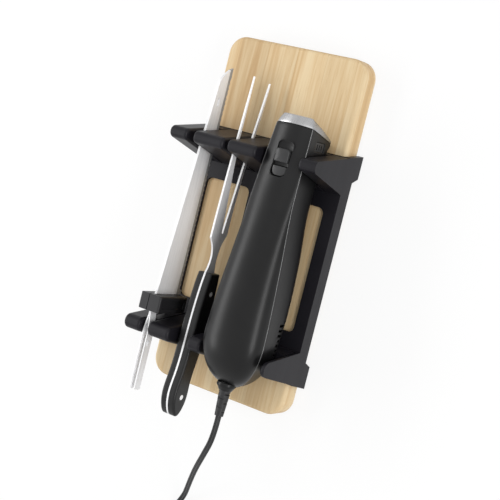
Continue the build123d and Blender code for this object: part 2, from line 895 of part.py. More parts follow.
with BuildPart() as fan:
    with BuildSketch(end_plane(fan_y + fan_width / 2)):
        with Locations((handle_x, motor_level)):
            Circle(fan_hub_radius)
            with PolarLocations((fan_radius + fan_hub_radius) / 2 - overrun / 2, fan_blades):
                Rectangle(fan_radius - fan_hub_radius + overrun, fan_blade_thickness)
            Circle(shaft_radius, mode=Mode.SUBTRACT)
    extrude(amount=fan_width)
    with BuildSketch(end_plane(fan_y - fan_width / 2 + fan_blade_thickness)):
        with Locations((handle_x, motor_level)):
            Circle(fan_radius)
            Circle(shaft_radius, mode=Mode.SUBTRACT)
    extrude(amount=fan_blade_thickness)
finish(fan, "fan")

# Bearings
for name, y in (("bearing_front", front_bearing_y), ("bearing_rear", rear_bearing_y)):
    with BuildPart() as bearing:
        with BuildSketch(end_plane(y + bearing_length / 2)):
            with Locations((handle_x, motor_level)):
                Circle(bearing_radius)
                Circle(shaft_radius, mode=Mode.SUBTRACT)
        extrude(amount=bearing_length)
    finish(bearing, name)

# Stator with two poles, and a coil round each
with BuildPart() as motor_stator:
    with BuildSketch(end_plane(rotor_front)):
        with Locations((handle_x, motor_level)):
            RectangleRounded(2 * stator_half_width, 2 * stator_half_height, coil_width)
            Circle(stator_bore, mode=Mode.SUBTRACT)
            for side_x_shift in (-1, 1):
                for side_z_shift in (-1, 1):
                    with Locations((side_x_shift * (coil_start + coil_width / 2),
                                    side_z_shift * (pole_half_height + coil_depth / 2))):
                        Rectangle(coil_width, coil_depth, mode=Mode.SUBTRACT)
    extrude(amount=stator_length)
finish(motor_stator, "motor_stator")

for name, side in (("field_coil_left", -1), ("field_coil_right", 1)):
    near = handle_x + side * (coil_start + coil_fit)
    with BuildPart() as field_coil:
        with BuildSketch(side_plane(min(near, near + side * (coil_width - 2 * coil_fit)))):
            with Locations((stator_y, motor_level)):
                RectangleRounded(stator_length + 2 * coil_depth,
                                 2 * (pole_half_height + coil_depth - coil_fit), coil_depth / 2)
                Rectangle(stator_length, 2 * pole_half_height, mode=Mode.SUBTRACT)
        extrude(amount=coil_width - 2 * coil_fit)
    finish(field_coil, name)

# Motor mount: base and rear bearing wall
with BuildPart() as motor_mount:
    rear_face = rear_bearing_y - mount_wall / 2
    wall_top = motor_level + bearing_radius + mount_wall / 2
    add(box_between((handle_x - mount_half_width, rear_face, mount_level),
                    (handle_x + mount_half_width, mount_front_y, motor_level - stator_half_height)))
    add(box_between((handle_x - mount_half_width, rear_face, mount_level),
                    (handle_x + mount_half_width, rear_face + mount_wall, wall_top)))
    add(rod((handle_x, rear_face + mount_wall + overrun, motor_level),
            (handle_x, rear_face - overrun, motor_level), bearing_radius), mode=Mode.SUBTRACT)
finish(motor_mount, "motor_mount")

# Brushes and the holders that carry them over the commutator
for name, side in (("left", -1), ("right", 1)):

    def beside(near, far, half_y, half_z):
        """Box beside the commutator on this side of the shaft."""
        a = handle_x + side * near
        b = handle_x + side * far
        return box_between((min(a, b), commutator_y - half_y, motor_level - half_z),
                           (max(a, b), commutator_y + half_y, motor_level + half_z))

    brush_start = commutator_radius + brush_fit
    with BuildPart() as brush:
        add(beside(brush_start, brush_start + brush_length, brush_width / 2, brush_height / 2))
    finish(brush, f"brush_{name}")

    holder_start = brush_start + holder_wall
    with BuildPart() as brush_holder:
        add(beside(holder_start, holder_start + holder_length,
                   brush_width / 2 + holder_wall, brush_height / 2 + holder_wall))
        add(beside(holder_start - overrun, brush_start + brush_length, brush_width / 2, brush_height / 2),
            mode=Mode.SUBTRACT)
        a = handle_x + side * holder_start
        b = handle_x + side * mount_half_width
        foot_top = motor_level - brush_height / 2 - holder_wall
        add(box_between((min(a, b), commutator_y - brush_width / 2, motor_level - stator_half_height),
                        (max(a, b), commutator_y + brush_width / 2, foot_top)))
    finish(brush_holder, f"brush_holder_{name}")

# Strain relief: a tapered boot with slots cut from two sides in turn, and a flange inside the shell
with BuildPart() as strain_relief:
    with BuildSketch(side_plane(handle_x)):
        with BuildLine():
            Polyline(
                (relief_root_y, relief_level),
                (relief_root_y, relief_level + relief_flange_radius),
                (relief_root_y - relief_flange, relief_level + relief_flange_radius),
                (relief_root_y - relief_flange, relief_level + relief_root_radius),
                (relief_exit_y, relief_level + relief_root_radius),
                (relief_tip_y, relief_level + relief_tip_radius),
                (relief_tip_y, relief_level),
                close=True,
            )
        make_face()
    revolve(axis=Axis((handle_x, 0, board_height + relief_level), (0, 1, 0)))
    ring_pitch = (relief_exit_y - relief_tip_y) / (relief_rings + 1)
    for ring in range(relief_rings):
        ring_y = relief_exit_y - (ring + relief_first_share) * ring_pitch
        reach = relief_root_radius + overrun
        for side in (-1, 1):
            low_x = handle_x + min(side * relief_core, side * reach)
            high_x = handle_x + max(side * relief_core, side * reach)
            low_z = relief_level + min(side * relief_core, side * reach)
            high_z = relief_level + max(side * relief_core, side * reach)
            if ring % 2:
                add(box_between((low_x, ring_y - relief_slot / 2, relief_level - reach),
                                (high_x, ring_y + relief_slot / 2, relief_level + reach)), mode=Mode.SUBTRACT)
            else:
                add(box_between((handle_x - reach, ring_y - relief_slot / 2, low_z),
                                (handle_x + reach, ring_y + relief_slot / 2, high_z)), mode=Mode.SUBTRACT)
finish(strain_relief, "strain_relief")

# Blades: one outline for both, mirrored by side
heel_y = blade_tip_y - blade_length
ricasso_y = heel_y - ricasso_length
guard_rear_y = ricasso_y - guard_length
tang_rear_y = guard_rear_y - tang_length
guard_core_top = tang_level + tang_height
spine_level = blade_edge_level + blade_depth
tip_shares = (0.067, 0.48)
scallop_count = int((blade_length - 2 * scallop_pitch) / scallop_pitch)


def blade_face(x):
    """Blade outline from the tip to the end inside the guard."""
    with BuildSketch(side_plane(x)) as outline:
        with BuildLine():
            point = (heel_y, blade_edge_level)
            for _ in range(scallop_count):
                following = (point[0] + scallop_pitch, blade_edge_level)
                crest = (point[0] + scallop_pitch / 2, blade_edge_level + scallop_depth)
                ThreePointArc(point, crest, following)
                point = following
            front_y = blade_tip_y - tip_shares[0] * blade_length
            front = (front_y, blade_edge_level + tip_shares[1] * blade_depth)
            tip = (blade_tip_y, blade_edge_level + scallop_depth / 2)
            Line(point, tip)
            bow = ((tip[0] + front[0]) / 2 + scallop_depth, (tip[1] + front[1]) / 2 + scallop_depth)
            ThreePointArc(tip, bow, front)
            Polyline(front, (ricasso_y, spine_level), (ricasso_y, guard_core_top),
                     (guard_rear_y, guard_core_top), (guard_rear_y, guard_core_bottom),
                     (ricasso_y, guard_core_bottom), (ricasso_y, blade_edge_level - ricasso_drop),
                     (heel_y, blade_edge_level - ricasso_drop), (heel_y, blade_edge_level))
        make_face()
    return outline.sketch


for name, side in (("left", -1), ("right", 1)):
    inner_x = blade_x + side * blade_gap / 2
    outer_x = inner_x + side * blade_thickness
    low_x = min(inner_x, outer_x)
    tang_x = blade_x + side * tang_spread
    profile = blade_face(low_x)
    with BuildPart() as blade:
        add(profile)
        extrude(amount=blade_thickness, dir=(1, 0, 0))
        with BuildSketch(end_plane(blade_tip_y + overrun)):
            with BuildLine():
                edge_x = inner_x + side * blade_edge_thickness
                past_x = outer_x + side * overrun
                Polyline((edge_x, blade_edge_level - overrun), (past_x, blade_edge_level - overrun),
                         (past_x, blade_edge_level + blade_bevel), (outer_x, blade_edge_level + blade_bevel),
                         (edge_x, blade_edge_level), close=True)
            make_face()
        extrude(amount=blade_length + overrun, mode=Mode.SUBTRACT)
        with BuildSketch(top_plane(tang_level)):
            middle_x = (inner_x + outer_x) / 2
            half = blade_thickness / 2
            start_y = guard_rear_y + tang_straight
            bend_y = guard_rear_y - tang_straight
            spread_y = bend_y - tang_bend
            with BuildLine():
                Polyline((middle_x - half, start_y), (middle_x + half, start_y), (middle_x + half, bend_y),
                         (tang_x + half, spread_y), (tang_x + half, tang_rear_y),
                         (tang_x - half, tang_rear_y), (tang_x - half, spread_y),
                         (middle_x - half, bend_y), close=True)
            make_face()
        extrude(amount=tang_height)
        stud_level = tang_level + tang_height / 2
        add(rod((blade_x, stud_y, stud_level), (blade_x + side * board_width / 2, stud_y, stud_level),
                stud_shank), mode=Mode.SUBTRACT)
        if side < 0:
            add(rod((blade_x - board_width / 2, tip_rivet_y, tip_rivet_level),
                    (blade_x, tip_rivet_y, tip_rivet_level), tip_rivet_radius), mode=Mode.SUBTRACT)
        else:
            with BuildSketch(side_plane(blade_x)):
                with Locations((tip_rivet_y - blade_travel / 2, tip_rivet_level)):
                    SlotCenterToCenter(blade_travel, 2 * (tip_rivet_radius + rivet_fit))
            extrude(amount=blade_thickness + overrun, mode=Mode.SUBTRACT)
    finish(blade, f"blade_{name}")

    with BuildPart() as tang_stud:
        inner_face = tang_x - side * blade_thickness / 2
        outer_face = tang_x + side * blade_thickness / 2
        add(rod((inner_face, stud_y, stud_level), (outer_face, stud_y, stud_level), stud_shank))
        add(rod((outer_face, stud_y, stud_level), (outer_face + side * stud_height, stud_y, stud_level),
                stud_radius))
    finish(tang_stud, f"tang_stud_{name}")

    guard_width = guard_left_width if side < 0 else guard_right_width
    with BuildPart() as guard:
        guard_inner = inner_x + side * guard_split
        guard_outer = inner_x + side * guard_width
        add(box_between((min(guard_inner, guard_outer), guard_rear_y, guard_level),
                        (max(guard_inner, guard_outer), ricasso_y, guard_level + guard_height)))
        outer_face_edges = guard.faces().filter_by(Axis.X).sort_by(Axis.X)[-1 if side > 0 else 0].edges()
        fillet(outer_face_edges, guard_round)
        with BuildSketch(side_plane(guard_outer)):
            with Locations(((ricasso_y + guard_rear_y) / 2, guard_level + guard_height / 2)):
                RectangleRounded(guard_length - 2 * guard_panel_margin, guard_height - 2 * guard_panel_margin,
                                 guard_round)
        extrude(amount=-side * guard_panel_depth, mode=Mode.SUBTRACT)
        add(box_between((min(inner_x, outer_x), guard_rear_y - overrun, guard_core_bottom),
                        (max(inner_x, outer_x), ricasso_y + overrun, guard_core_top)), mode=Mode.SUBTRACT)
    finish(guard, f"guard_{name}")

with BuildPart() as tip_rivet:
    add(rod((blade_x - blade_gap / 2 - blade_thickness, tip_rivet_y, tip_rivet_level),
            (blade_x + blade_gap / 2 + blade_thickness, tip_rivet_y, tip_rivet_level), tip_rivet_radius))
finish(tip_rivet, "tip_rivet")

# Fork: two tines from one plate, and a full tang between the handle scales.
# Shares run along the length from the tips and up the height from the lowest tine point.
fork_rise = fork_high - fork_low
upper_tine_shares = ((0.0, 0.716), (0.181, 0.797), (0.407, 0.878), (0.4715, 0.889))
upper_neck_shares = ((0.4715, 0.889), (0.518, 0.681), (0.574, 0.76))
lower_neck_shares = ((0.574, 0.41), (0.518, 0.45), (0.460, 0.265))
lower_tine_shares = ((0.460, 0.265), (0.407, 0.266), (0.248, 0.185), (0.166, 0.115), (0.007, 0.0))
slit_upper_shares = ((0.0, 0.704), (0.181, 0.723), (0.457, 0.508))
slit_lower_shares = ((0.457, 0.462), (0.169, 0.196), (0.007, 0.018))
grip_top_shares = ((0.574, 0.755), (0.636, 0.838), (0.75, 0.901), (0.877, 0.975), (0.965, 1.0))
grip_low_shares = ((0.965, 0.566), (0.9, 0.531), (0.824, 0.45), (0.665, 0.381), (0.574, 0.415))


def fork_points(shares):
    """Points of the fork's outline as (y, level)."""
    return [(fork_tip_y - along * fork_length, fork_low + up * fork_rise) for along, up in shares]


def grip_face(x):
    """Outline of the fork's handle."""
    top = fork_points(grip_top_shares)
    low = fork_points(grip_low_shares)
    end = (fork_tip_y - fork_length, (top[-1][1] + low[0][1]) / 2)
    with BuildSketch(side_plane(x)) as outline:
        with BuildLine():
            Spline(*top, end, *low)
            Line(low[-1], top[0])
        make_face()
    return outline.sketch


grip_rivets = [
    (fork_tip_y - fork_length + share * grip_length, fork_low + rise * fork_rise)
    for share, rise in zip(grip_rivet_shares, grip_rivet_rise_shares)
]
tang_profile = grip_face(fork_x - fork_thickness / 2)
with BuildPart() as fork_blade:
    with BuildSketch(side_plane(fork_x - fork_thickness / 2)):
        with BuildLine():
            Spline(*fork_points(upper_tine_shares))
            Spline(*fork_points(upper_neck_shares))
            Line(fork_points(upper_neck_shares)[-1], fork_points(lower_neck_shares)[0])
            Spline(*fork_points(lower_neck_shares))
            Spline(*fork_points(lower_tine_shares))
            Line(fork_points(lower_tine_shares)[-1], fork_points(slit_lower_shares)[-1])
            Polyline(*fork_points(slit_lower_shares))
            Line(fork_points(slit_lower_shares)[0], fork_points(slit_upper_shares)[-1])
            Polyline(*fork_points(slit_upper_shares))
            Line(fork_points(slit_upper_shares)[0], fork_points(upper_tine_shares)[0])
        make_face()
    extrude(amount=fork_thickness)
    add(tang_profile)
    extrude(amount=fork_thickness, dir=(1, 0, 0))
    for y, level in grip_rivets:
        add(rod((fork_x - grip_half_width, y, level), (fork_x + grip_half_width, y, level),
                grip_rivet_radius), mode=Mode.SUBTRACT)
finish(fork_blade, "fork_blade")

for name, side in (("fork_scale_left", -1), ("fork_scale_right", 1)):
    profile = grip_face(fork_x + side * fork_thickness / 2)
    with BuildPart() as fork_scale:
        add(profile)
        extrude(amount=grip_half_width - fork_thickness / 2, dir=(side, 0, 0))
        outer = fork_scale.faces().filter_by(Axis.X).sort_by(Axis.X)[-1 if side > 0 else 0]
        fillet(outer.edges(), grip_round)
        for y, level in grip_rivets:
            add(rod((fork_x - grip_half_width, y, level), (fork_x + grip_half_width, y, level),
                    grip_rivet_radius), mode=Mode.SUBTRACT)
    finish(fork_scale, name)

for name, (y, level) in zip(("fork_rivet_front", "fork_rivet_rear"), grip_rivets):
    with BuildPart() as fork_rivet:
        add(rod((fork_x - grip_half_width, y, level), (fork_x + grip_half_width, y, level),
                grip_rivet_radius))
    finish(fork_rivet, name)

# Storage rack. An arm's outline is given by shares of its depth, from its outer foot inwards,
# and of its height above the board.
upper_arm_shares = ((0.356, 1.0), (0.612, 1.0), (0.938, 0.186), (1.0, 0.047), (1.0, 0.0))
saddle_shares = (-0.2, 0.05, 0.3, 0.55, 0.8, 1.1)
lower_arm_shares = ((0.421, 1.0), (0.763, 1.0), (0.808, 0.817), (1.0, 0.054), (1.0, 0.0))
arms = (
    (upper_arm_y, -upper_arm_depth, upper_arm_shares, upper_arm_round),
    (lower_arm_y, lower_arm_depth, lower_arm_shares, lower_arm_round),
)


def arm_base_y(arm):
    """Where the outer face of an arm meets the board's level."""
    foot_y, depth, shares, _ = arm
    return foot_y + depth * shares[0][0] * board_height / (arm_level + board_height)


def arm_face(arm, x):
    """Outline of an arm at x, above the board."""
    foot_y, depth, shares, top_round = arm
    points = [(foot_y + depth * along, arm_level * up) for along, up in shares]
    foot = (arm_base_y(arm), 0)
    with BuildSketch(side_plane(x)) as outline:
        with BuildLine():
            Polyline(foot, *points, close=True)
        make_face()
        fillet(outline.vertices().group_by(Axis.Y)[-1], top_round)
    return outline.sketch


def arm_span(arm, low_x, high_x):
    """Full-height piece of an arm, hollow from below, with its free ends rounded."""
    profile = arm_face(arm, low_x)
    with BuildPart() as lobe:
        add(profile)
        extrude(amount=high_x - low_x, dir=(1, 0, 0))
        ends = [lobe.faces().filter_by(Axis.X).sort_by(Axis.X)[0]]
        if high_x < rack_right:
            ends.append(lobe.faces().filter_by(Axis.X).sort_by(Axis.X)[-1])
        for end in ends:
            high_edges = end.edges().filter_by(lambda edge: edge.center().Z > board_height + lobe_round)
            fillet(high_edges, lobe_round)
    return lobe.part


def arm_core(arm, low_x, high_x):
    """Hollow under an arm's full-height piece."""
    foot_y, depth, shares, _ = arm
    points = [(foot_y + depth * along, arm_level * up) for along, up in shares]
    base_y = arm_base_y(arm)
    with BuildPart() as core:
        with BuildSketch(side_plane(low_x)) as outline:
            with BuildLine():
                Polyline((base_y, -rack_wall), (base_y, 0), *points, (points[-1][0], -rack_wall), close=True)
            make_face()
            offset(amount=-rack_wall, kind=Kind.INTERSECTION)
        extrude(amount=high_x - low_x)
    return core.part


def arm_floor(arm, low_x, high_x, top_line):
    """Low piece of an arm between two full-height ones, cut along a line of (y, level) points."""
    ceiling = arm_level + board_height
    profile = arm_face(arm, low_x)
    with BuildPart() as floor:
        add(profile)
        extrude(amount=high_x - low_x, dir=(1, 0, 0))
        with BuildSketch(side_plane(low_x)):
            with BuildLine():
                Spline(*top_line)
                Polyline(top_line[-1], (top_line[-1][0], ceiling), (top_line[0][0], ceiling), top_line[0])
            make_face()
        extrude(amount=high_x - low_x, mode=Mode.SUBTRACT)
    return floor.part


def slot(centre, width):
    """Two sides of a slot."""
    return centre - width / 2, centre + width / 2


def level_line(arm, level):
    """Flat line across an arm."""
    return [(arm[0] + overrun * arm[1], level), (arm[0] - overrun * arm[1], level)]


def saddle_line(arm):
    """Line across an arm a little above the power handle's underside."""
    ys = [arm[0] + arm[1] * share for share in saddle_shares]
    return [(y, level_at(y, 4) + saddle_depth) for y in ys]


lower_tine = fork_points(lower_tine_shares)
grip_low = fork_points(grip_low_shares)
fork_slot_level = min(level for y, level in lower_tine if y < upper_arm_y + fork_slot_width) - slot_fit
grip_line = [(y, level - grip_slot_fit) for y, level in grip_low]
blade_slot = slot(blade_x, blade_slot_width)
fork_slot = slot(fork_x, fork_slot_width)
upper_cradle = slot(handle_x + upper_cradle_shift, upper_cradle_width)
tang_slot = slot(blade_x, tang_slot_width)
grip_slot = slot(fork_x, grip_slot_width)
lower_cradle = slot(handle_x + lower_cradle_shift, lower_cradle_width)
upper_arm, lower_arm = arms
spans = []
floors = []
for arm, slots, lines in (
    (upper_arm, (blade_slot, fork_slot, upper_cradle),
     (level_line(upper_arm, blade_edge_level - slot_fit), level_line(upper_arm, fork_slot_level),
      saddle_line(upper_arm))),
    (lower_arm, (tang_slot, grip_slot, lower_cradle),
     (level_line(lower_arm, tang_level - slot_fit), grip_line, saddle_line(lower_arm))),
):
    starts = [rack_left] + [end for _, end in slots]
    ends = [start for start, _ in slots] + [rack_right]
    spans += [(arm, start, end) for start, end in zip(starts, ends)]
    floors += [(arm, start, end, line) for (start, end), line in zip(slots, lines)]

span_solids = [arm_span(*span) for span in spans]
floor_solids = [arm_floor(*floor) for floor in floors]
core_solids = [
    arm_core(arm, start + rack_wall, end - rack_wall)
    for arm, start, end in spans
    if end - start > flange_thickness + rack_wall
]
cradle_outlines = [cradle_outline(section) for section in handle_sections(cradle_fit)]
with BuildPart() as cradle_cut:
    loft(cradle_outlines, ruled=True)

corner_ys = [arm_base_y(arm) for arm in arms]
with BuildPart() as storage_rack:
    with BuildSketch(top_plane(0)):
        with BuildLine():
            Polyline((rack_left, corner_ys[1]), (rack_right, corner_ys[1]), (rack_right, corner_ys[0]),
                     (rack_left, corner_ys[0]), close=True)
        make_face()
        window_y = (window_front + window_rear) / 2
        for x, width in ((left_window_x, left_window_width), (right_window_x, right_window_width)):
            with Locations((x, window_y)):
                RectangleRounded(width, window_front - window_rear, window_corner, mode=Mode.SUBTRACT)
    extrude(amount=plate_thickness)
    with BuildSketch(side_plane(flange_inner)):
        with BuildLine():
            upper_foot = upper_arm_y - foot_length
            lower_foot = lower_arm_y + foot_length
            Polyline((lower_arm_y, -board_height), (lower_foot, -board_height),
                     (lower_foot + foot_slope, -flange_drop), (upper_foot - foot_slope, -flange_drop),
                     (upper_foot, -board_height), (upper_arm_y, -board_height),
                     (corner_ys[0], plate_thickness), (corner_ys[1], plate_thickness), close=True)
        make_face()
    extrude(amount=flange_thickness)
    add(box_between((rack_left, corner_ys[1], -lip_drop),
                    (rack_left + lip_thickness, corner_ys[0], plate_thickness)))
    add(span_solids)
    add(floor_solids)
    add(core_solids, mode=Mode.SUBTRACT)
    add(cradle_cut.part, mode=Mode.SUBTRACT)
finish(storage_rack, "storage_rack")

# Cord: the free run, as straight runs with tangent arcs
bend_share = 0.45
route = [Vector(x, y, board_height + level) for x, y, level in cord_route]
radii = []
for before, corner, after in zip(route, route[1:], route[2:]):
    turn = radians((corner - before).get_angle(after - corner))
    shorter = min((corner - before).length, (after - corner).length)
    radii.append(bend_share * shorter / tan(turn / 2))
print("cord radii", [round(radius, 1) for radius in radii])
with BuildPart() as cord_free:
    with BuildLine() as cord_line:
        FilletPolyline(*route, radius=radii)
    with BuildSketch(Plane(origin=route[0], z_dir=route[1] - route[0])):
        Circle(cord_diameter / 2)
    sweep()
finish(cord_free, "cord_free")
free_length = cord_line.wires()[0].length
print("free cord", round(free_length, 1), "volume share",
      round(cord_free.part.volume / (free_length * pi * cord_diameter**2 / 4), 4))

# Cord: the coil. It winds inwards on the floor, climbs in half a turn, and winds outwards on top.
entry = route[-1]
heading = (route[-1] - route[-2]).normalized()
side_way = Vector(-heading.Y, heading.X, 0)
coil_entry = entry + heading * cord_diameter
inward = coil_inward_turns * 2 * pi
climb = pi
outward = coil_outward_turns * 2 * pi
rate = coil_pitch / (2 * pi)
coil_centre = coil_entry + side_way * coil_radius
start_radius = coil_radius


def coil_state(angle):
    """Radius, its rate of change, height and its rate of change after turning by an angle."""
    if angle <= inward:
        return start_radius - rate * angle, -rate, 0, 0
    inner = start_radius - rate * inward
    if angle <= inward + climb:
        share = (angle - inward) / climb
        radius = inner - rate * climb * (share - share**2)
        height = coil_pitch * (3 * share**2 - 2 * share**3)
        return radius, -rate * (1 - 2 * share), height, coil_pitch * 6 * (share - share**2) / climb
    past = angle - inward - climb
    return inner + rate * past, rate, coil_pitch, 0


def coil_point(angle):
    """Place and direction of the cord's centreline after turning by an angle."""
    radius, radius_rate, height, height_rate = coil_state(angle)
    outwards = side_way * -cos(angle) + heading * sin(angle)
    along = side_way * sin(angle) + heading * cos(angle)
    place = coil_centre + outwards * radius + Vector(0, 0, height)
    direction = outwards * radius_rate + along * radius + Vector(0, 0, height_rate)
    return place, direction.normalized()


quarter = pi / 2
total_angle = inward + climb + outward
steps = ceil(total_angle / quarter)
angles = [min(index * quarter, total_angle) for index in range(steps + 1)]
states = [coil_point(angle) for angle in angles]
states = [(entry, heading)] + [(coil_entry, heading)] + states[1:]
last_place, last_way = states[-1]
exit_way = Vector(last_way.X, last_way.Y, 0).normalized()
coil_exit = last_place + exit_way * plug_lead


def biarc(start, start_way, end, end_way):
    """Meeting point and meeting direction of two tangent arcs between two directed points."""
    chord = end - start
    both = start_way + end_way
    bend = 2 * (1 - start_way.dot(end_way))
    reach = (sqrt(chord.dot(both) ** 2 + bend * chord.dot(chord)) - chord.dot(both)) / bend
    meeting = (start + start_way * reach + end - end_way * reach) * 0.5
    way = (end - end_way * reach - start - start_way * reach).normalized()
    return meeting, way


with BuildPart() as cord_coil:
    with BuildLine() as coil_line:
        Line(entry, coil_entry)
        for (start, start_way), (end, end_way) in zip(states[1:], states[2:]):
            meeting, way = biarc(start, start_way, end, end_way)
            TangentArc(start, meeting, tangent=start_way)
            TangentArc(meeting, end, tangent=way)
        Line(last_place, coil_exit)
    with BuildSketch(Plane(origin=entry, z_dir=heading)):
        Circle(cord_diameter / 2)
    sweep()
finish(cord_coil, "cord_coil")
coil_path = coil_line.wires()[0]
coil_length = coil_path.length
sample_count = 900
samples = [coil_path @ (index / sample_count) for index in range(sample_count + 1)]
apart = ceil(sample_count * 2 * cord_diameter / coil_length)
gaps = [
    (a - b).length
    for first, a in enumerate(samples)
    for b in samples[first + apart:]
]
print("coil length", round(coil_length, 1), "least gap", round(min(gaps) - cord_diameter, 2),
      "volume share", round(cord_coil.part.volume / (coil_length * pi * cord_diameter**2 / 4), 4))

# Plug lying on the floor at the end of the coil
plug_height = 2 * coil_exit.Z
plug_plane = Plane(origin=coil_exit, x_dir=exit_way.cross(Vector(0, 0, 1)), z_dir=exit_way)
with BuildPart() as plug_body:
    with BuildSketch(plug_plane):
        RectangleRounded(plug_width, plug_height, plug_round)
    extrude(amount=plug_length)
    fillet(plug_body.faces().sort_by(Axis(coil_exit, exit_way))[0].edges(), plug_round / 2)
finish(plug_body, "plug_body")
for name, side in (("plug_pin_left", -1), ("plug_pin_right", 1)):
    with BuildPart() as plug_pin:
        with BuildSketch(plug_plane.offset(plug_length)):
            with Locations((side * pin_spacing / 2, 0)):
                Rectangle(pin_thickness, pin_width)
        extrude(amount=pin_length)
        fillet(plug_pin.faces().sort_by(Axis(coil_exit, exit_way))[-1].edges(), pin_thickness / 4)
    finish(plug_pin, name)
print("cord in all", round(free_length + coil_length, 1))
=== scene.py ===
import json
from math import cos, pi, radians, sin, sqrt

import bmesh
import bpy
from mathutils import Matrix, Vector


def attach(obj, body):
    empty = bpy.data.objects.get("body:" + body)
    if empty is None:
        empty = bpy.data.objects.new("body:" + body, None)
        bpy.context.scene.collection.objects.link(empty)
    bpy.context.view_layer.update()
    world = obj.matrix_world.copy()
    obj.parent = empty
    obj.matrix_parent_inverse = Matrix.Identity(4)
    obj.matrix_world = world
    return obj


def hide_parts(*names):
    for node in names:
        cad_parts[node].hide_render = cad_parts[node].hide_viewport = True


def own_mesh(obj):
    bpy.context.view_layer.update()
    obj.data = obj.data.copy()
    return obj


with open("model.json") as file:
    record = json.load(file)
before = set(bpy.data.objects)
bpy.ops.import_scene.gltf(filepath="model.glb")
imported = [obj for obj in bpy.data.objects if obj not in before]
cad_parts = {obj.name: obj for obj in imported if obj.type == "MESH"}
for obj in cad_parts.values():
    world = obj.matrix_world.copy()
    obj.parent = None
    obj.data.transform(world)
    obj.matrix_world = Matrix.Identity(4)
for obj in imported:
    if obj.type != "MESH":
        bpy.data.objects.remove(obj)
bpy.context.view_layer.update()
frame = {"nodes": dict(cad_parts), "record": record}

# Sizes in millimetres, in the part's own frame. Levels are heights above the board's top.
MM = 0.001
BOARD_HEIGHT = 24.2
HANDLE_X = 45
NOSE_Y = 112
DOME_Y = -105
DOME_LENGTH = 48
HALF_WIDTH = 32.4
HANDLE_LOW = 5.5
HANDLE_HEIGHT = 74.5
DOME_LEVEL = 52
DOME_TIP_LEVEL = 46
SHELL_WALL = 2.5
COLLAR_WALL = 2
SEAM_GAP = 0.3
COLLAR_LOW_Y = 93.5
COLLAR_HIGH_Y = 102.6
COLLAR_TOP_LEVEL = 47.4
NOSE_LOW_Y = 95
NOSE_HIGH_Y = 111.5
# Track as the y of its middle, length, width and depth
TRACK = (69, 34, 16.4, 3.6)
TRACK_FRONT_ROUND = 4.5
TRACK_REAR_ROUND = 5.5
SLIDER_Y = 72.2
BUTTON_Y = 57.4
# Blade release as y, level, length and height
RELEASE = (87.3, 27, 8.6, 16.5)
RELEASE_FIT = 0.25
VENT_COUNT = 8
VENT_FIRST_Y = -85
VENT_PITCH = 4.9
VENT_HALF_WIDTH = 1.1
VENT_LEVELS = (24, 34)
RELIEF_LEVEL = 54
RELIEF_HOLE = 6.1
RELIEF_HOLE_YS = (-130, -170)
CORD_DIAMETER = 6
BLADE_GROUND_AND_SHADE_LEVEL = 23
STAVE_WIDTH = 33.5

nodes = frame["nodes"]
bodies = frame["record"]["behaviour"]["bodies"]
body_of_node = {node: body for body, members in bodies.items() for node in members}


def place(x, y, level):
    """Point of the shared frame in metres, from millimetres and a level."""
    return Vector((x * MM, y * MM, (level + BOARD_HEIGHT) * MM))


# Camera
camera_data = bpy.data.cameras.new("camera")
camera_data.lens = 88.07
camera_data.sensor_width = 36
camera_data.clip_start = 0.01
camera = bpy.data.objects.new("camera", camera_data)
bpy.context.scene.collection.objects.link(camera)
right = Vector((0.820786, 0.241353, -0.517744))
up = Vector((-0.254930, 0.965860, 0.046103))
back = Vector((0.511195, 0.094148, 0.854293))
turn = Matrix((right, up, back)).transposed().to_4x4()
camera.matrix_world = Matrix.Translation(place(624.8, 87.06, 1041.15)) @ turn
bpy.context.scene.camera = camera
bpy.context.scene.view_settings.view_transform = "Standard"


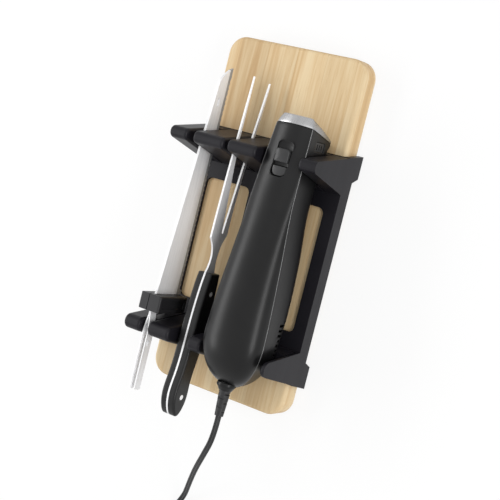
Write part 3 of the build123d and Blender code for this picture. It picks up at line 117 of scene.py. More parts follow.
# Materials
class Nodes:
    """A material's node tree, with short calls for its nodes and links."""

    def __init__(self, name):
        self.material = bpy.data.materials.new(name)
        self.material.use_nodes = True
        self.tree = self.material.node_tree
        self.shader = self.tree.nodes["Principled BSDF"]
        self.output = self.tree.nodes["Material Output"]

    def add(self, kind, **settings):
        node = self.tree.nodes.new(kind)
        for key, value in settings.items():
            setattr(node, key, value)
        return node

    def link(self, source, target):
        self.tree.links.new(source, target)

    def feed(self, value, socket):
        """Puts a number, colour or socket into an input."""
        if isinstance(value, bpy.types.NodeSocket):
            self.link(value, socket)
        else:
            socket.default_value = value

    def where(self):
        return self.add("ShaderNodeTexCoord").outputs["Object"]

    def math(self, operation, first, second=0.0, third=0.0):
        node = self.add("ShaderNodeMath", operation=operation)
        for value, socket in zip((first, second, third), node.inputs):
            self.feed(value, socket)
        return node.outputs[0]

    def stretch(self, vector, scale, shift=(0, 0, 0)):
        node = self.add("ShaderNodeMapping")
        self.feed(vector, node.inputs["Vector"])
        self.feed(scale, node.inputs["Scale"])
        self.feed(shift, node.inputs["Location"])
        return node.outputs[0]

    def noise(self, vector, scale, detail=4.0, roughness=0.55, distortion=0.0):
        node = self.add("ShaderNodeTexNoise")
        self.feed(vector, node.inputs["Vector"])
        self.feed(scale, node.inputs["Scale"])
        self.feed(detail, node.inputs["Detail"])
        self.feed(roughness, node.inputs["Roughness"])
        self.feed(distortion, node.inputs["Distortion"])
        return node.outputs["Fac"]

    def ramp(self, value, stops):
        node = self.add("ShaderNodeValToRGB")
        self.feed(value, node.inputs["Fac"])
        elements = node.color_ramp.elements
        while len(elements) < len(stops):
            elements.new(0.5)
        for element, (position, colour) in zip(elements, stops):
            element.position = position
            element.color = (*colour, 1)
        return node.outputs["Color"]

    def mix(self, share, first, second, mode="MIX"):
        node = self.add("ShaderNodeMix", data_type="RGBA", blend_type=mode)
        self.feed(share, node.inputs[0])
        for value, socket in ((first, node.inputs[6]), (second, node.inputs[7])):
            self.feed(value if isinstance(value, bpy.types.NodeSocket) else (*value, 1), socket)
        return node.outputs[2]

    def span(self, value, low, high):
        """Maps 0 to 1 onto low to high."""
        node = self.add("ShaderNodeMapRange")
        self.feed(value, node.inputs["Value"])
        self.feed(low, node.inputs["To Min"])
        self.feed(high, node.inputs["To Max"])
        return node.outputs[0]

    def bump(self, height, strength, distance, under=None):
        node = self.add("ShaderNodeBump")
        self.feed(height, node.inputs["Height"])
        self.feed(strength, node.inputs["Strength"])
        self.feed(distance, node.inputs["Distance"])
        if under is not None:
            self.link(under, node.inputs["Normal"])
        return node.outputs["Normal"]

    def set(self, **values):
        for key, value in values.items():
            self.feed(value, self.shader.inputs[key.replace("_", " ")])


def plastic(name, colour, roughness, specular, grain=2600, grain_depth=0.00004, mottle=0.12, coat=0.0):
    """Moulded plastic: a fine spark-eroded grain, faint cloudiness and soft handling marks."""
    n = Nodes(name)
    where = n.where()
    cloud = n.noise(where, 22, 3)
    fine = n.noise(where, grain, 2, 0.6)
    marks = n.noise(n.stretch(where, (1, 0.25, 1)), 60, 5, 0.65, 0.6)
    dark = tuple(c * (1 - mottle) for c in colour)
    light = tuple(c * (1 + mottle) + 0.002 for c in colour)
    n.set(Base_Color=n.ramp(cloud, ((0.3, dark), (0.7, light))))
    n.set(Roughness=n.span(marks, roughness - 0.07, roughness + 0.07))
    n.shader.inputs["Specular IOR Level"].default_value = specular
    n.shader.inputs["Coat Weight"].default_value = coat
    n.shader.inputs["Coat Roughness"].default_value = 0.12
    soft = n.bump(cloud, 0.05, 0.0004)
    n.set(Normal=n.bump(fine, 0.35, grain_depth, soft))
    return n.material


def steel(name, colour, roughness, metallic, along=(1, 0.02, 1), depth=0.00003, edge=None):
    """Brushed steel with fine lines along one axis, faint smudges and a darker band below a height in metres:
    partly the ground bevel's finish, partly painted shade on the bevel.
    """
    n = Nodes(name)
    where = n.where()
    lines = n.noise(n.stretch(where, along), 1800, 6, 0.7)
    broad = n.noise(n.stretch(where, along), 300, 3, 0.5)
    smudge = n.noise(where, 40, 4, 0.6, 0.8)
    tone = n.math("ADD", n.math("MULTIPLY", lines, 0.6), n.math("MULTIPLY", broad, 0.4))
    dark = tuple(c * 0.84 for c in colour)
    brushed = n.ramp(tone, ((0.35, dark), (0.6, colour)))
    # Below the edge height the colour turns dark grey: the ground bevel's own finish plus painted shade where the
    # bevel faces away from the light.
    if edge is not None:
        axes = n.add("ShaderNodeSeparateXYZ")
        n.link(where, axes.inputs[0])
        ground = n.noise(n.stretch(where, (0.03, 1, 0.03)), 2400, 3, 0.6)
        ground_and_shade_band = n.ramp(n.math("MULTIPLY", n.math("SUBTRACT", edge, axes.outputs[2]), 1000.0),
                      ((0.0, (0, 0, 0)), (0.5, (1, 1, 1))))
        brushed = n.mix(ground_and_shade_band, brushed, n.ramp(ground, ((0.35, (0.26, 0.27, 0.28)), (0.65, (0.40, 0.41, 0.42)))))
    n.set(Base_Color=brushed)
    n.set(Roughness=n.math("ADD", n.span(lines, roughness - 0.08, roughness + 0.06), n.span(smudge, -0.03, 0.06)))
    n.shader.inputs["Metallic"].default_value = metallic
    n.set(Normal=n.bump(lines, 0.4, depth))
    return n.material


def wood(name):
    """Pale glued staves: fine straight grain, pores, a tone for each stave and end grain."""
    n = Nodes(name)
    where = n.where()
    axes = n.add("ShaderNodeSeparateXYZ")
    n.link(where, axes.inputs[0])
    normal = n.add("ShaderNodeSeparateXYZ")
    n.link(n.add("ShaderNodeNewGeometry").outputs["Normal"], normal.inputs[0])
    wobble = n.math("MULTIPLY", n.math("SUBTRACT", n.noise(n.stretch(where, (0, 1, 0)), 9, 1), 0.5), 0.0006)
    across = n.math("ADD", n.math("ADD", axes.outputs[0], 0.2), wobble)
    share = n.math("DIVIDE", across, STAVE_WIDTH * MM)
    index = n.math("FLOOR", share)
    inside = n.math("FRACT", share)
    tone = n.add("ShaderNodeTexWhiteNoise", noise_dimensions="1D")
    n.link(index, tone.inputs["W"])
    shift = n.add("ShaderNodeCombineXYZ")
    n.link(n.math("MULTIPLY", index, 0.37), shift.inputs[0])
    n.link(n.math("MULTIPLY", index, 1.9), shift.inputs[1])
    moved = n.add("ShaderNodeVectorMath", operation="ADD")
    n.link(where, moved.inputs[0])
    n.link(shift.outputs[0], moved.inputs[1])
    bands = n.noise(n.stretch(moved.outputs[0], (1, 0.05, 1)), 75, 4, 0.55, 0.5)
    streaks = n.noise(n.stretch(moved.outputs[0], (1, 0.03, 1)), 420, 5, 0.6, 0.2)
    flames = n.noise(n.stretch(moved.outputs[0], (1, 0.09, 1)), 30, 3, 0.5, 1.2)
    mixed = n.math("ADD", n.math("MULTIPLY", bands, 0.5), n.math("MULTIPLY", streaks, 0.28))
    mixed = n.math("ADD", mixed, n.math("MULTIPLY", flames, 0.22))
    base = n.ramp(mixed, (
        (0.34, (0.55, 0.36, 0.175)),
        (0.45, (0.65, 0.465, 0.255)),
        (0.54, (0.725, 0.565, 0.345)),
        (0.68, (0.78, 0.645, 0.43)),
    ))
    staves = n.ramp(tone.outputs["Value"], (
        (0.0, (0.86, 0.83, 0.79)),
        (0.5, (0.96, 0.95, 0.93)),
        (1.0, (1.03, 1.03, 1.02)),
    ))
    face = n.mix(1.0, base, staves, "MULTIPLY")
    pores = n.noise(n.stretch(moved.outputs[0], (1, 0.035, 1)), 1500, 2, 0.5)
    pore_mask = n.ramp(pores, ((0.63, (0, 0, 0)), (0.72, (1, 1, 1))))
    face = n.mix(n.math("MULTIPLY", pore_mask, 0.30), face, (0.42, 0.25, 0.11))
    from_middle = n.math("ABSOLUTE", n.math("SUBTRACT", inside, 0.5))
    joint = n.ramp(from_middle, ((0.488, (0, 0, 0)), (0.497, (1, 1, 1))))
    face = n.mix(n.math("MULTIPLY", joint, 0.28), face, (0.40, 0.24, 0.11))
    rings = n.noise(n.stretch(moved.outputs[0], (1, 1, 3.5)), 240, 4, 0.6, 0.8)
    end = n.ramp(rings, ((0.35, (0.50, 0.32, 0.15)), (0.65, (0.72, 0.54, 0.31))))
    end_share = n.ramp(n.math("ABSOLUTE", normal.outputs[1]), ((0.55, (0, 0, 0)), (0.85, (1, 1, 1))))
    n.set(Base_Color=n.mix(end_share, face, end))
    n.set(Roughness=n.span(mixed, 0.62, 0.48))
    n.shader.inputs["Specular IOR Level"].default_value = 0.32
    grain = n.bump(streaks, 0.18, 0.0002)
    sunk = n.bump(n.math("SUBTRACT", 1.0, joint), 0.25, 0.0002, grain)
    n.set(Normal=n.bump(n.math("SUBTRACT", 1.0, pore_mask), 0.25, 0.00012, sunk))
    return n.material


def rubber(name):
    """Matte flexible jacket with a faint drawn grain."""
    n = Nodes(name)
    where = n.where()
    dust = n.noise(where, 90, 4, 0.65)
    fine = n.noise(where, 1500, 3, 0.6)
    n.set(Base_Color=n.ramp(dust, ((0.35, (0.010, 0.010, 0.011)), (0.75, (0.022, 0.022, 0.023)))))
    n.set(Roughness=n.span(dust, 0.42, 0.58))
    n.shader.inputs["Specular IOR Level"].default_value = 0.4
    n.set(Normal=n.bump(fine, 0.3, 0.00005))
    return n.material


def lined(name, dark, light, axis, pitch, metallic, roughness):
    """Stacked sheets or wound wire: fine parallel lines at a pitch in metres along one axis."""
    n = Nodes(name)
    axes = n.add("ShaderNodeSeparateXYZ")
    where = n.where()
    n.link(where, axes.inputs[0])
    wave = n.math("SINE", n.math("MULTIPLY", axes.outputs[axis], 2 * pi / pitch))
    wave = n.math("ADD", n.math("MULTIPLY", wave, 0.5), 0.5)
    cloud = n.noise(where, 120, 4, 0.6)
    stripe = n.ramp(wave, ((0.1, dark), (0.6, light)))
    n.set(Base_Color=n.mix(n.math("MULTIPLY", cloud, 0.35), stripe, dark))
    n.set(Roughness=n.span(cloud, roughness - 0.08, roughness + 0.1))
    n.shader.inputs["Metallic"].default_value = metallic
    n.set(Normal=n.bump(wave, 0.5, pitch / 4))
    return n.material


materials = {
    "board_wood": wood("board_wood"),
    "rack_plastic": plastic("rack_plastic", (0.0095, 0.0088, 0.0118), 0.42, 0.19),
    "shell_plastic": plastic("shell_plastic", (0.006, 0.006, 0.0063), 0.33, 0.23, grain_depth=0.00003),
    "collar_steel": steel("collar_steel", (0.42, 0.42, 0.425), 0.27, 1.0, (1, 0.03, 0.03)),
    "inner_plastic": plastic("inner_plastic", (0.055, 0.055, 0.06), 0.5, 0.35),
    "spring_steel": steel("spring_steel", (0.55, 0.56, 0.58), 0.35, 1.0),
    "brass_parts": steel("brass_parts", (0.72, 0.52, 0.22), 0.32, 1.0),
    "stator_iron": lined("stator_iron", (0.10, 0.10, 0.11), (0.30, 0.30, 0.32), 1, 0.001, 0.9, 0.45),
    "copper_winding": lined("copper_winding", (0.26, 0.09, 0.04), (0.72, 0.30, 0.13), 1, 0.0008, 0.9, 0.32),
    "carbon": plastic("carbon", (0.03, 0.03, 0.03), 0.6, 0.4),
    "cord_rubber": rubber("cord_rubber"),
    "button_plastic": plastic("button_plastic", (0.034, 0.034, 0.035), 0.36, 0.30),
    "gear_plastic": plastic("gear_plastic", (0.78, 0.75, 0.66), 0.42, 0.4, mottle=0.04),
    # Near-white base colour with little metallic: the diffuse white is a painted reflection of the bright studio on
    # the blades' faces.
    "blade_steel": steel("blade_steel", (0.94, 0.94, 0.95), 0.42, 0.12,
                         edge=(BOARD_HEIGHT + BLADE_GROUND_AND_SHADE_LEVEL) * MM),
    "guard_plastic": plastic("guard_plastic", (0.016, 0.016, 0.0175), 0.44, 0.30),
    "grip_plastic": plastic("grip_plastic", (0.010, 0.010, 0.0105), 0.34, 0.26, 1800, 0.00001),
}
# Near-white base colour with little metallic for the fork and rivets: a painted reflection of the bright studio.
reflection_painted_steel = steel("reflection_painted_steel", (0.95, 0.95, 0.96), 0.4, 0.14)
# Grey far lighter than the shells, for the seam beads: a painted highlight.
seam_highlight_plastic = plastic("seam_highlight_grey_plastic", (0.12, 0.12, 0.122), 0.2, 0.6, 1800, 0.00001, coat=0.4)
slot_of_node = {piece["node"]: piece.get("material_slot") for piece in frame["record"]["subparts"]}


# Mesh helpers
def new_piece(name, verts, faces):
    mesh = bpy.data.meshes.new(name)
    mesh.from_pydata([tuple(v) for v in verts], [], faces)
    mesh.validate()
    piece = bpy.data.objects.new(name, mesh)
    bpy.context.scene.collection.objects.link(piece)
    return piece


def outwards(piece):
    """Turns all faces outwards."""
    edit = bmesh.new()
    edit.from_mesh(piece.data)
    bmesh.ops.recalc_face_normals(edit, faces=edit.faces)
    edit.to_mesh(piece.data)
    edit.free()
    return piece


def bake(piece):
    """Applies the modifiers."""
    bpy.context.view_layer.update()
    evaluated = piece.evaluated_get(bpy.context.evaluated_depsgraph_get())
    mesh = bpy.data.meshes.new_from_object(evaluated)
    piece.modifiers.clear()
    piece.data = mesh
    return piece


def smooth(piece, angle=32):
    """Smooth shading, sharp where faces meet at more than an angle."""
    for face in piece.data.polygons:
        face.use_smooth = True
    piece.data.set_sharp_from_angle(angle=radians(angle))
    return piece


def round_edges(piece, width, segments=2, angle=40):
    """Small radius along the sharp edges, width in millimetres."""
    bevel = piece.modifiers.new("round", "BEVEL")
    bevel.width = width * MM
    bevel.segments = segments
    bevel.limit_method = "ANGLE"
    bevel.angle_limit = radians(angle)
    bevel.use_clamp_overlap = False
    return bake(piece)


def cut(piece, *cutters):
    """Takes other pieces' solids away."""
    for cutter in cutters:
        tool = piece.modifiers.new("cut", "BOOLEAN")
        tool.operation = "DIFFERENCE"
        tool.solver = "EXACT"
        tool.object = cutter
        bake(piece)
        bpy.data.objects.remove(cutter)
    return piece


def dress(piece, slot_name, body, *stands_for):
    """Gives the piece the material named by a slot and a body, and hides the CAD nodes that it stands for."""
    piece.data.materials.clear()
    piece.data.materials.append(materials[slot_name])
    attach(piece, body)
    if stands_for:
        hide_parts(*stands_for)
    return piece


FLAT_FACE_WEIGHT = 80
MERGE_DISTANCE = 1e-6


def refine(node, angle=32):
    """Copy of a CAD node's shape with smooth shading over its rounded edges, in its place."""
    source = nodes[node].data
    verts = [v.co for v in source.vertices]
    piece = new_piece(f"{node}_finished", verts, [tuple(face.vertices) for face in source.polygons])
    edit = bmesh.new()
    edit.from_mesh(piece.data)
    bmesh.ops.remove_doubles(edit, verts=edit.verts, dist=MERGE_DISTANCE)
    edit.to_mesh(piece.data)
    edit.free()
    smooth(outwards(piece), angle)
    flat = piece.modifiers.new("flat", "WEIGHTED_NORMAL")
    flat.mode = "FACE_AREA"
    flat.weight = FLAT_FACE_WEIGHT
    flat.keep_sharp = True
    bake(piece)
    return dress(piece, slot_of_node[node], body_of_node[node], node)


def rounded_outline(centre, length, width, front, rear, steps=8):
    """Closed outline in (x, y), with its own corner radius at the front (+Y) and the rear."""
    points = []
    corners = ((1, 1, front, 0), (-1, 1, front, 90), (-1, -1, rear, 180), (1, -1, rear, 270))
    for side_x, side_y, radius, start in corners:
        for step in range(steps + 1):
            angle = radians(start + 90 * step / steps)
            points.append((centre[0] + side_x * (width / 2 - radius) + radius * cos(angle),
                           centre[1] + side_y * (length / 2 - radius) + radius * sin(angle)))
    return points


def prism(name, outline, low, high):
    """Straight block over an (x, y) outline between two levels."""
    count = len(outline)
    verts = [place(x, y, low) for x, y in outline] + [place(x, y, high) for x, y in outline]
    faces = [tuple(range(count)), tuple(range(2 * count - 1, count - 1, -1))]
    faces += [(k, count + k, count + (k + 1) % count, (k + 1) % count) for k in range(count)]
    return outwards(new_piece(name, verts, faces))


def block(name, low, high):
    """Box between two corners, each an (x, y, level)."""
    outline = [(low[0], low[1]), (high[0], low[1]), (high[0], high[1]), (low[0], high[1])]
    return prism(name, outline, low[2], high[2])


def drum(name, radius, y_near, y_far, x, level, steps=48):
    """Cylinder along Y."""
    rings = [[place(x + radius * cos(2 * pi * k / steps), y, level + radius * sin(2 * pi * k / steps))
              for k in range(steps)] for y in (y_near, y_far)]
    faces = [tuple(range(steps)), tuple(range(2 * steps - 1, steps - 1, -1))]
    faces += [(k, steps + k, steps + (k + 1) % steps, (k + 1) % steps) for k in range(steps)]
    return outwards(new_piece(name, rings[0] + rings[1], faces))


def crowned_pad(name, centre, length, width, front, rear, low, high, crown, edge):
    """Button with a rounded rim and a top that falls away to its sides by the crown."""
    inset_rings = [(0, low), (0, high - edge)]
    for step in range(1, 5):
        angle = radians(90 * step / 4)
        inset_rings.append((edge * (1 - cos(angle)), high - edge + edge * sin(angle)))
    rim_rings = len(inset_rings)
    for share in (0.2, 0.4, 0.6, 0.8):
        inset_rings.append((edge + share * (width / 2 - edge), high))
    verts = []
    outline = rounded_outline(centre, length, width, front, rear)
    for index, (inset, level) in enumerate(inset_rings):
        shrink_x = 1 - inset / (width / 2)
        if index < rim_rings:
            shrink_y = 1 - inset / (length / 2)
        else:
            shrink_y = shrink_x * (1 - edge / (length / 2)) / (1 - edge / (width / 2))
        for x, y in outline:
            px = centre[0] + (x - centre[0]) * shrink_x
            py = centre[1] + (y - centre[1]) * shrink_y
            fall = 0 if index == 0 else crown * ((px - centre[0]) / (width / 2)) ** 2
            verts.append(place(px, py, level - fall))
    count = len(outline)
    verts.append(place(centre[0], centre[1], high))
    faces = [tuple(range(count - 1, -1, -1))]
    for ring in range(len(inset_rings) - 1):
        faces += [(ring * count + k, ring * count + (k + 1) % count,
                   (ring + 1) * count + (k + 1) % count, (ring + 1) * count + k) for k in range(count)]
    last = (len(inset_rings) - 1) * count
    faces += [(last + k, last + (k + 1) % count, len(verts) - 1) for k in range(count)]
    return outwards(new_piece(name, verts, faces))


# Cord: the free run and the put-away coil, as one line
route = [
    place(45, -182, 54),
    place(45, -204, 54),
    place(33.5, -227, 45),
    place(17, -249.5, 26),
    place(0.5, -272.5, 3),
    place(-16.5, -298.5, -21.2),
    place(-38, -332, -21.2),
]
COIL_PITCH = 6.9
COIL_RADIUS = 35.5
INWARD = 2.75 * 2 * pi
CLIMB = pi
OUTWARD = 2.85 * 2 * pi
PLUG_LEAD = 38
TURN_STEPS = 20
heading = (route[-1] - route[-2]).normalized()
sideways = Vector((-heading.y, heading.x, 0))
coil_entry = route[-1] + heading * CORD_DIAMETER * MM
coil_centre = coil_entry + sideways * COIL_RADIUS * MM


def coil_place(angle, spread=1.0):
    """Point of the coil after turning by an angle: inwards on the floor, up, and outwards on top."""
    rate = COIL_PITCH / (2 * pi)
    inner = COIL_RADIUS - rate * INWARD
    if angle <= INWARD:
        radius, height = COIL_RADIUS - rate * angle, 0
    elif angle <= INWARD + CLIMB:
        share = (angle - INWARD) / CLIMB
        radius = inner - rate * CLIMB * (share - share**2)
        height = COIL_PITCH * (3 * share**2 - 2 * share**3)
    else:
        radius, height = inner + rate * (angle - INWARD - CLIMB), COIL_PITCH
    way = sideways * -cos(angle) + heading * sin(angle)
    return coil_centre + way * radius * spread * MM + Vector((0, 0, height * MM))


total_angle = INWARD + CLIMB + OUTWARD
spread = 1 / cos(pi / TURN_STEPS)
turn_angles = [2 * pi * (step + 0.5) / TURN_STEPS for step in range(int(total_angle * TURN_STEPS / (2 * pi)))]
coil_points = [coil_place(angle, spread) for angle in turn_angles]
last = coil_place(total_angle)
tiny = 0.001
exit_way = (last - coil_place(total_angle - tiny))
exit_way.z = 0
exit_way.normalize()
coil_exit = last + exit_way * PLUG_LEAD * MM

line_data = bpy.data.curves.new("cord_line", "CURVE")
line_data.dimensions = "3D"
line_data.resolution_u = 6
spline = line_data.splines.new("NURBS")
control = route + [coil_entry] + coil_points + [last, coil_exit]
spline.points.add(len(control) - 1)
for point, where in zip(spline.points, control):
    point.co = (*where, 1)
spline.order_u = 3
spline.use_endpoint_u = True
line_object = bpy.data.objects.new("cord_line", line_data)
bpy.context.scene.collection.objects.link(line_object)
bpy.context.view_layer.update()
line_mesh = bpy.data.meshes.new_from_object(line_object.evaluated_get(bpy.context.evaluated_depsgraph_get()))
cord_path = [v.co.copy() for v in line_mesh.vertices]
bpy.data.objects.remove(line_object)
bpy.data.meshes.remove(line_mesh)


def cord_outline(steps=24):
    """Section of a two-core lead as (sideways, up): two round cores side by side with a groove between."""
    half_width = CORD_DIAMETER / 2
    core = 1.72
    points = []
    for step in range(steps):
        angle = 2 * pi * step / steps
        across = half_width * cos(angle)
        offset = half_width - core
        depth = sqrt(max(0.0, core**2 - max(0.0, abs(across) - offset) ** 2)) if abs(across) > offset else core
        groove = 0.62 * max(0.0, 1 - (abs(across) / 0.9) ** 2)
        points.append((across, (depth - groove) * (1 if sin(angle) >= 0 else -1) if abs(sin(angle)) > 1e-6 else 0))
    return points


def tube_along(name, path, outline):
    """Closed tube of a given section along a path, with the section's width kept level."""
    verts, faces = [], []
    count = len(outline)
    for index, point in enumerate(path):
        ahead = path[min(index + 1, len(path) - 1)] - path[max(index - 1, 0)]
        level_way = Vector((0, 0, 1)).cross(ahead).normalized()
        up_way = ahead.normalized().cross(level_way)
        verts += [point + level_way * a * MM + up_way * b * MM for a, b in outline]
        if index:
            faces += [((index - 1) * count + k, (index - 1) * count + (k + 1) % count,
                       index * count + (k + 1) % count, index * count + k) for k in range(count)]
    faces += [tuple(range(count)), tuple(range(len(verts) - 1, len(verts) - 1 - count, -1))]
    return outwards(new_piece(name, verts, faces))


cord = smooth(tube_along("power_cord", cord_path, cord_outline()), 50)
dress(cord, "cord_rubber", "handle", "cord_free", "cord_coil")

# Plug: a tapered moulding with grip ribs and a stepped neck
plug_up = Vector((0, 0, 1))
plug_across = exit_way.cross(plug_up)
PLUG_STATIONS = (
    (0.0, 6.2, 6.0), (0.6, 7.4, 7.0), (3.0, 7.6, 7.4), (3.4, 6.8, 6.6), (4.4, 6.8, 6.6), (4.8, 8.4, 8.2),
    (7.0, 9.0, 8.8), (7.4, 8.2, 8.0), (8.4, 8.4, 8.2), (8.8, 10.6, 10.2), (11.0, 13.2, 12.0), (14.0, 16.8, 13.8),
    (17.0, 19.2, 14.8), (17.5, 18.2, 14.0), (18.7, 18.6, 14.2), (19.2, 20.6, 15.2), (20.6, 21.2, 15.4),
    (21.1, 20.0, 14.6), (22.3, 20.2, 14.8), (22.8, 22.0, 15.8), (26.0, 22.8, 16.6), (30.2, 23.2, 17.4),
    (31.4, 22.8, 17.0), (32.0, 21.8, 16.0),
)
plug_verts, plug_faces = [], []
PLUG_STEPS = 40
for along, width, height in PLUG_STATIONS:
    for step in range(PLUG_STEPS):
        angle = 2 * pi * step / PLUG_STEPS
        ways = [abs(value) ** 0.62 * (1 if value >= 0 else -1) for value in (cos(angle), sin(angle))]
        plug_verts.append(coil_exit + exit_way * along * MM + plug_across * ways[0] * width / 2 * MM
                          + plug_up * ways[1] * height / 2 * MM)
for ring in range(len(PLUG_STATIONS) - 1):
    plug_faces += [(ring * PLUG_STEPS + k, ring * PLUG_STEPS + (k + 1) % PLUG_STEPS,
                    (ring + 1) * PLUG_STEPS + (k + 1) % PLUG_STEPS, (ring + 1) * PLUG_STEPS + k)
                   for k in range(PLUG_STEPS)]
plug_faces += [tuple(range(PLUG_STEPS)),
               tuple(range(len(plug_verts) - 1, len(plug_verts) - 1 - PLUG_STEPS, -1))]
plug = smooth(outwards(new_piece("plug_moulding", plug_verts, plug_faces)), 40)
dress(plug, "cord_rubber", "handle", "plug_body")

# Handle: a smooth skin through the same cross-sections as the solid shells
SECTION_SHARES = (
    (0.0, 0.500, 0.528, 0.577, 0.000, 0.093, 0.0),
    (0.044, 0.608, 0.562, 0.619, 0.000, 0.093, 0.0),
    (0.092, 0.627, 0.581, 0.646, 0.004, 0.093, 0.0),
    (0.129, 0.640, 0.594, 0.661, 0.052, 0.130, 0.04),
    (0.175, 0.655, 0.610, 0.683, 0.072, 0.190, 0.1),
    (0.230, 0.673, 0.628, 0.705, 0.084, 0.247, 0.15),
    (0.424, 0.741, 0.682, 0.799, 0.104, 0.370, 0.5),
    (0.631, 0.846, 0.691, 0.893, 0.075, 0.400, 0.8),
    (0.862, 0.951, 0.705, 0.973, 0.105, 0.432, 1.0),
    (1.0, 0.995, 0.720, 0.998, 0.165, 0.485, 1.0),
)
BODY_LENGTH = NOSE_Y - DOME_Y
TAPER_SHARE = 0.06


def slopes(xs, ys):
    """Slopes at the points of a monotone cubic."""
    steps = [b - a for a, b in zip(xs, xs[1:])]
    rises = [(d - c) / step for c, d, step in zip(ys, ys[1:], steps)]
    middle = []
    for before, after, first, second in zip(rises, rises[1:], steps, steps[1:]):
        if before * after <= 0:
            middle.append(0.0)
        else:
            one = 2 * second + first
            two = second + 2 * first
            middle.append((one + two) / (one / before + two / after))
    return [rises[0]] + middle + [rises[-1]]


share_column = [row[0] for row in SECTION_SHARES]
columns = [[row[k] for row in SECTION_SHARES] for k in range(1, 7)]
column_slopes = [slopes(share_column, column) for column in columns]


def row_at(share):
    """All values of a cross-section by a smooth line through the rows."""
    share = min(max(share, 0.0), 1.0)
    index = max(k for k, value in enumerate(share_column[:-1]) if value <= share + 1e-9)
    step = share_column[index + 1] - share_column[index]
    t = (share - share_column[index]) / step
    result = []
    for column, slope in zip(columns, column_slopes):
        a, b = column[index], column[index + 1]
        result.append((2 * t**3 - 3 * t**2 + 1) * a + (t**3 - 2 * t**2 + t) * step * slope[index]
                      + (3 * t**2 - 2 * t**3) * b + (t**3 - t**2) * step * slope[index + 1])
    return result


def section_at(y, grow):
    """Half width, seam, top, bottom, corner radius, fullness and side taper at y."""
    width, seam, top, bottom, corner, fullness = row_at((NOSE_Y - y) / BODY_LENGTH)
    inside = grow if y >= DOME_Y else 0
    half = width * HALF_WIDTH + inside
    levels = [HANDLE_LOW + HANDLE_HEIGHT * value for value in (seam, top, bottom)]
    levels[1] += inside
    levels[2] -= inside
    radius = max(corner * HALF_WIDTH + inside, COLLAR_WALL / 2)
    taper = TAPER_SHARE * half * corner / SECTION_SHARES[-1][5]
    if y >= DOME_Y:
        return half, levels[0], levels[1], levels[2], radius, fullness, taper
    share = min((DOME_Y - y) / DOME_LENGTH, 0.994)
    scale = sqrt(1 - share**2)
    centre = DOME_LEVEL + (DOME_TIP_LEVEL - DOME_LEVEL) * (1 - scale)
    levels = [centre + (value - DOME_LEVEL) * scale for value in levels]
    return (half * scale + grow, levels[0], levels[1] + grow, levels[2] - grow,
            max(radius * scale + grow, 0.3), fullness, taper * scale)


CROWN_STEPS = 36
SIDE_STEPS = 10
CORNER_STEPS = 9


def crown_point(index, y, grow, lift):
    """Point of the upper half, from the right seam (0) over the top to the left seam."""
    half, seam, top, _, _, fullness, _ = section_at(y, grow)
    seam += lift
    shoulder = (half * (0.8 + 0.2 * fullness), seam + (top - seam) * (0.5 + 0.1 * fullness))
    crown = (half * (0.4 + 0.2 * fullness), top)
    side = 1 if index <= CROWN_STEPS / 2 else -1
    t = 1 - abs(1 - index / (CROWN_STEPS / 2))
    weights = ((1 - t) ** 3, 3 * t * (1 - t) ** 2, 3 * t**2 * (1 - t), t**3)
    corners = ((half, seam), shoulder, crown, (0, top))
    x = sum(weight * corner[0] for weight, corner in zip(weights, corners))
    level = sum(weight * corner[1] for weight, corner in zip(weights, corners))
    return HANDLE_X + side * x, level


KEEL_STEPS = 2 * (SIDE_STEPS + CORNER_STEPS) + 6


def keel_point(index, y, grow, lift):
    """Point of the lower half, from the right seam (0) under the bottom to the left seam."""
    half, seam, _, bottom, radius, _, taper = section_at(y, grow)
    seam += lift
    side = 1 if index <= KEEL_STEPS / 2 else -1
    step = min(index, KEEL_STEPS - index)
    inner = half - taper
    if step <= SIDE_STEPS:
        t = step / SIDE_STEPS
        return HANDLE_X + side * (half + (inner - half) * t), seam + (bottom + radius - seam) * t
    step -= SIDE_STEPS
    if step <= CORNER_STEPS:
        angle = pi / 2 * step / CORNER_STEPS
        return HANDLE_X + side * (inner - radius * (1 - cos(angle))), bottom + radius * (1 - sin(angle))
    share = 1 - (step - CORNER_STEPS) / 3
    return HANDLE_X + side * (inner - radius) * share, bottom


def collar_y(level):
    """Joint between the collar and the shells."""
    rise = (COLLAR_HIGH_Y - COLLAR_LOW_Y) / (COLLAR_TOP_LEVEL - HANDLE_LOW)
    return COLLAR_LOW_Y + (level - HANDLE_LOW) * rise


def nose_y(level):
    """Front face of the nose."""
    seam = HANDLE_LOW + HANDLE_HEIGHT * SECTION_SHARES[0][2]
    return min(NOSE_LOW_Y + (level - HANDLE_LOW) * (NOSE_HIGH_Y - NOSE_LOW_Y) / (seam - HANDLE_LOW), NOSE_Y)


def on_skin(point, index, target, grow, lift):
    """Point of the skin whose y follows its own level."""
    y = target(50)
    for _ in range(6):
        y = target(point(index, y, grow, lift)[1])
    x, level = point(index, y, grow, lift)
    return place(x, y, level)


STRAIGHT_Y = 82
FRONT_STATIONS = 5
OUTER_DOME_ANGLE = 83.5
INNER_DOME_ANGLE = 56
body_ys = [STRAIGHT_Y - (STRAIGHT_Y - DOME_Y) * step / 56 for step in range(57)]


def shell_targets(dome_limit):
    """Lines across the handle from the collar to the end of the dome, as y by level."""
    targets = []
    for step in range(FRONT_STATIONS):
        share = step / FRONT_STATIONS
        targets.append(lambda level, share=share: (collar_y(level) - SEAM_GAP) * (1 - share) + STRAIGHT_Y * share)
    for y in body_ys:
        targets.append(lambda level, y=y: y)
    for step in range(1, 19):
        y = DOME_Y - DOME_LENGTH * sin(radians(dome_limit * step / 18))
        targets.append(lambda level, y=y: y)
    return targets


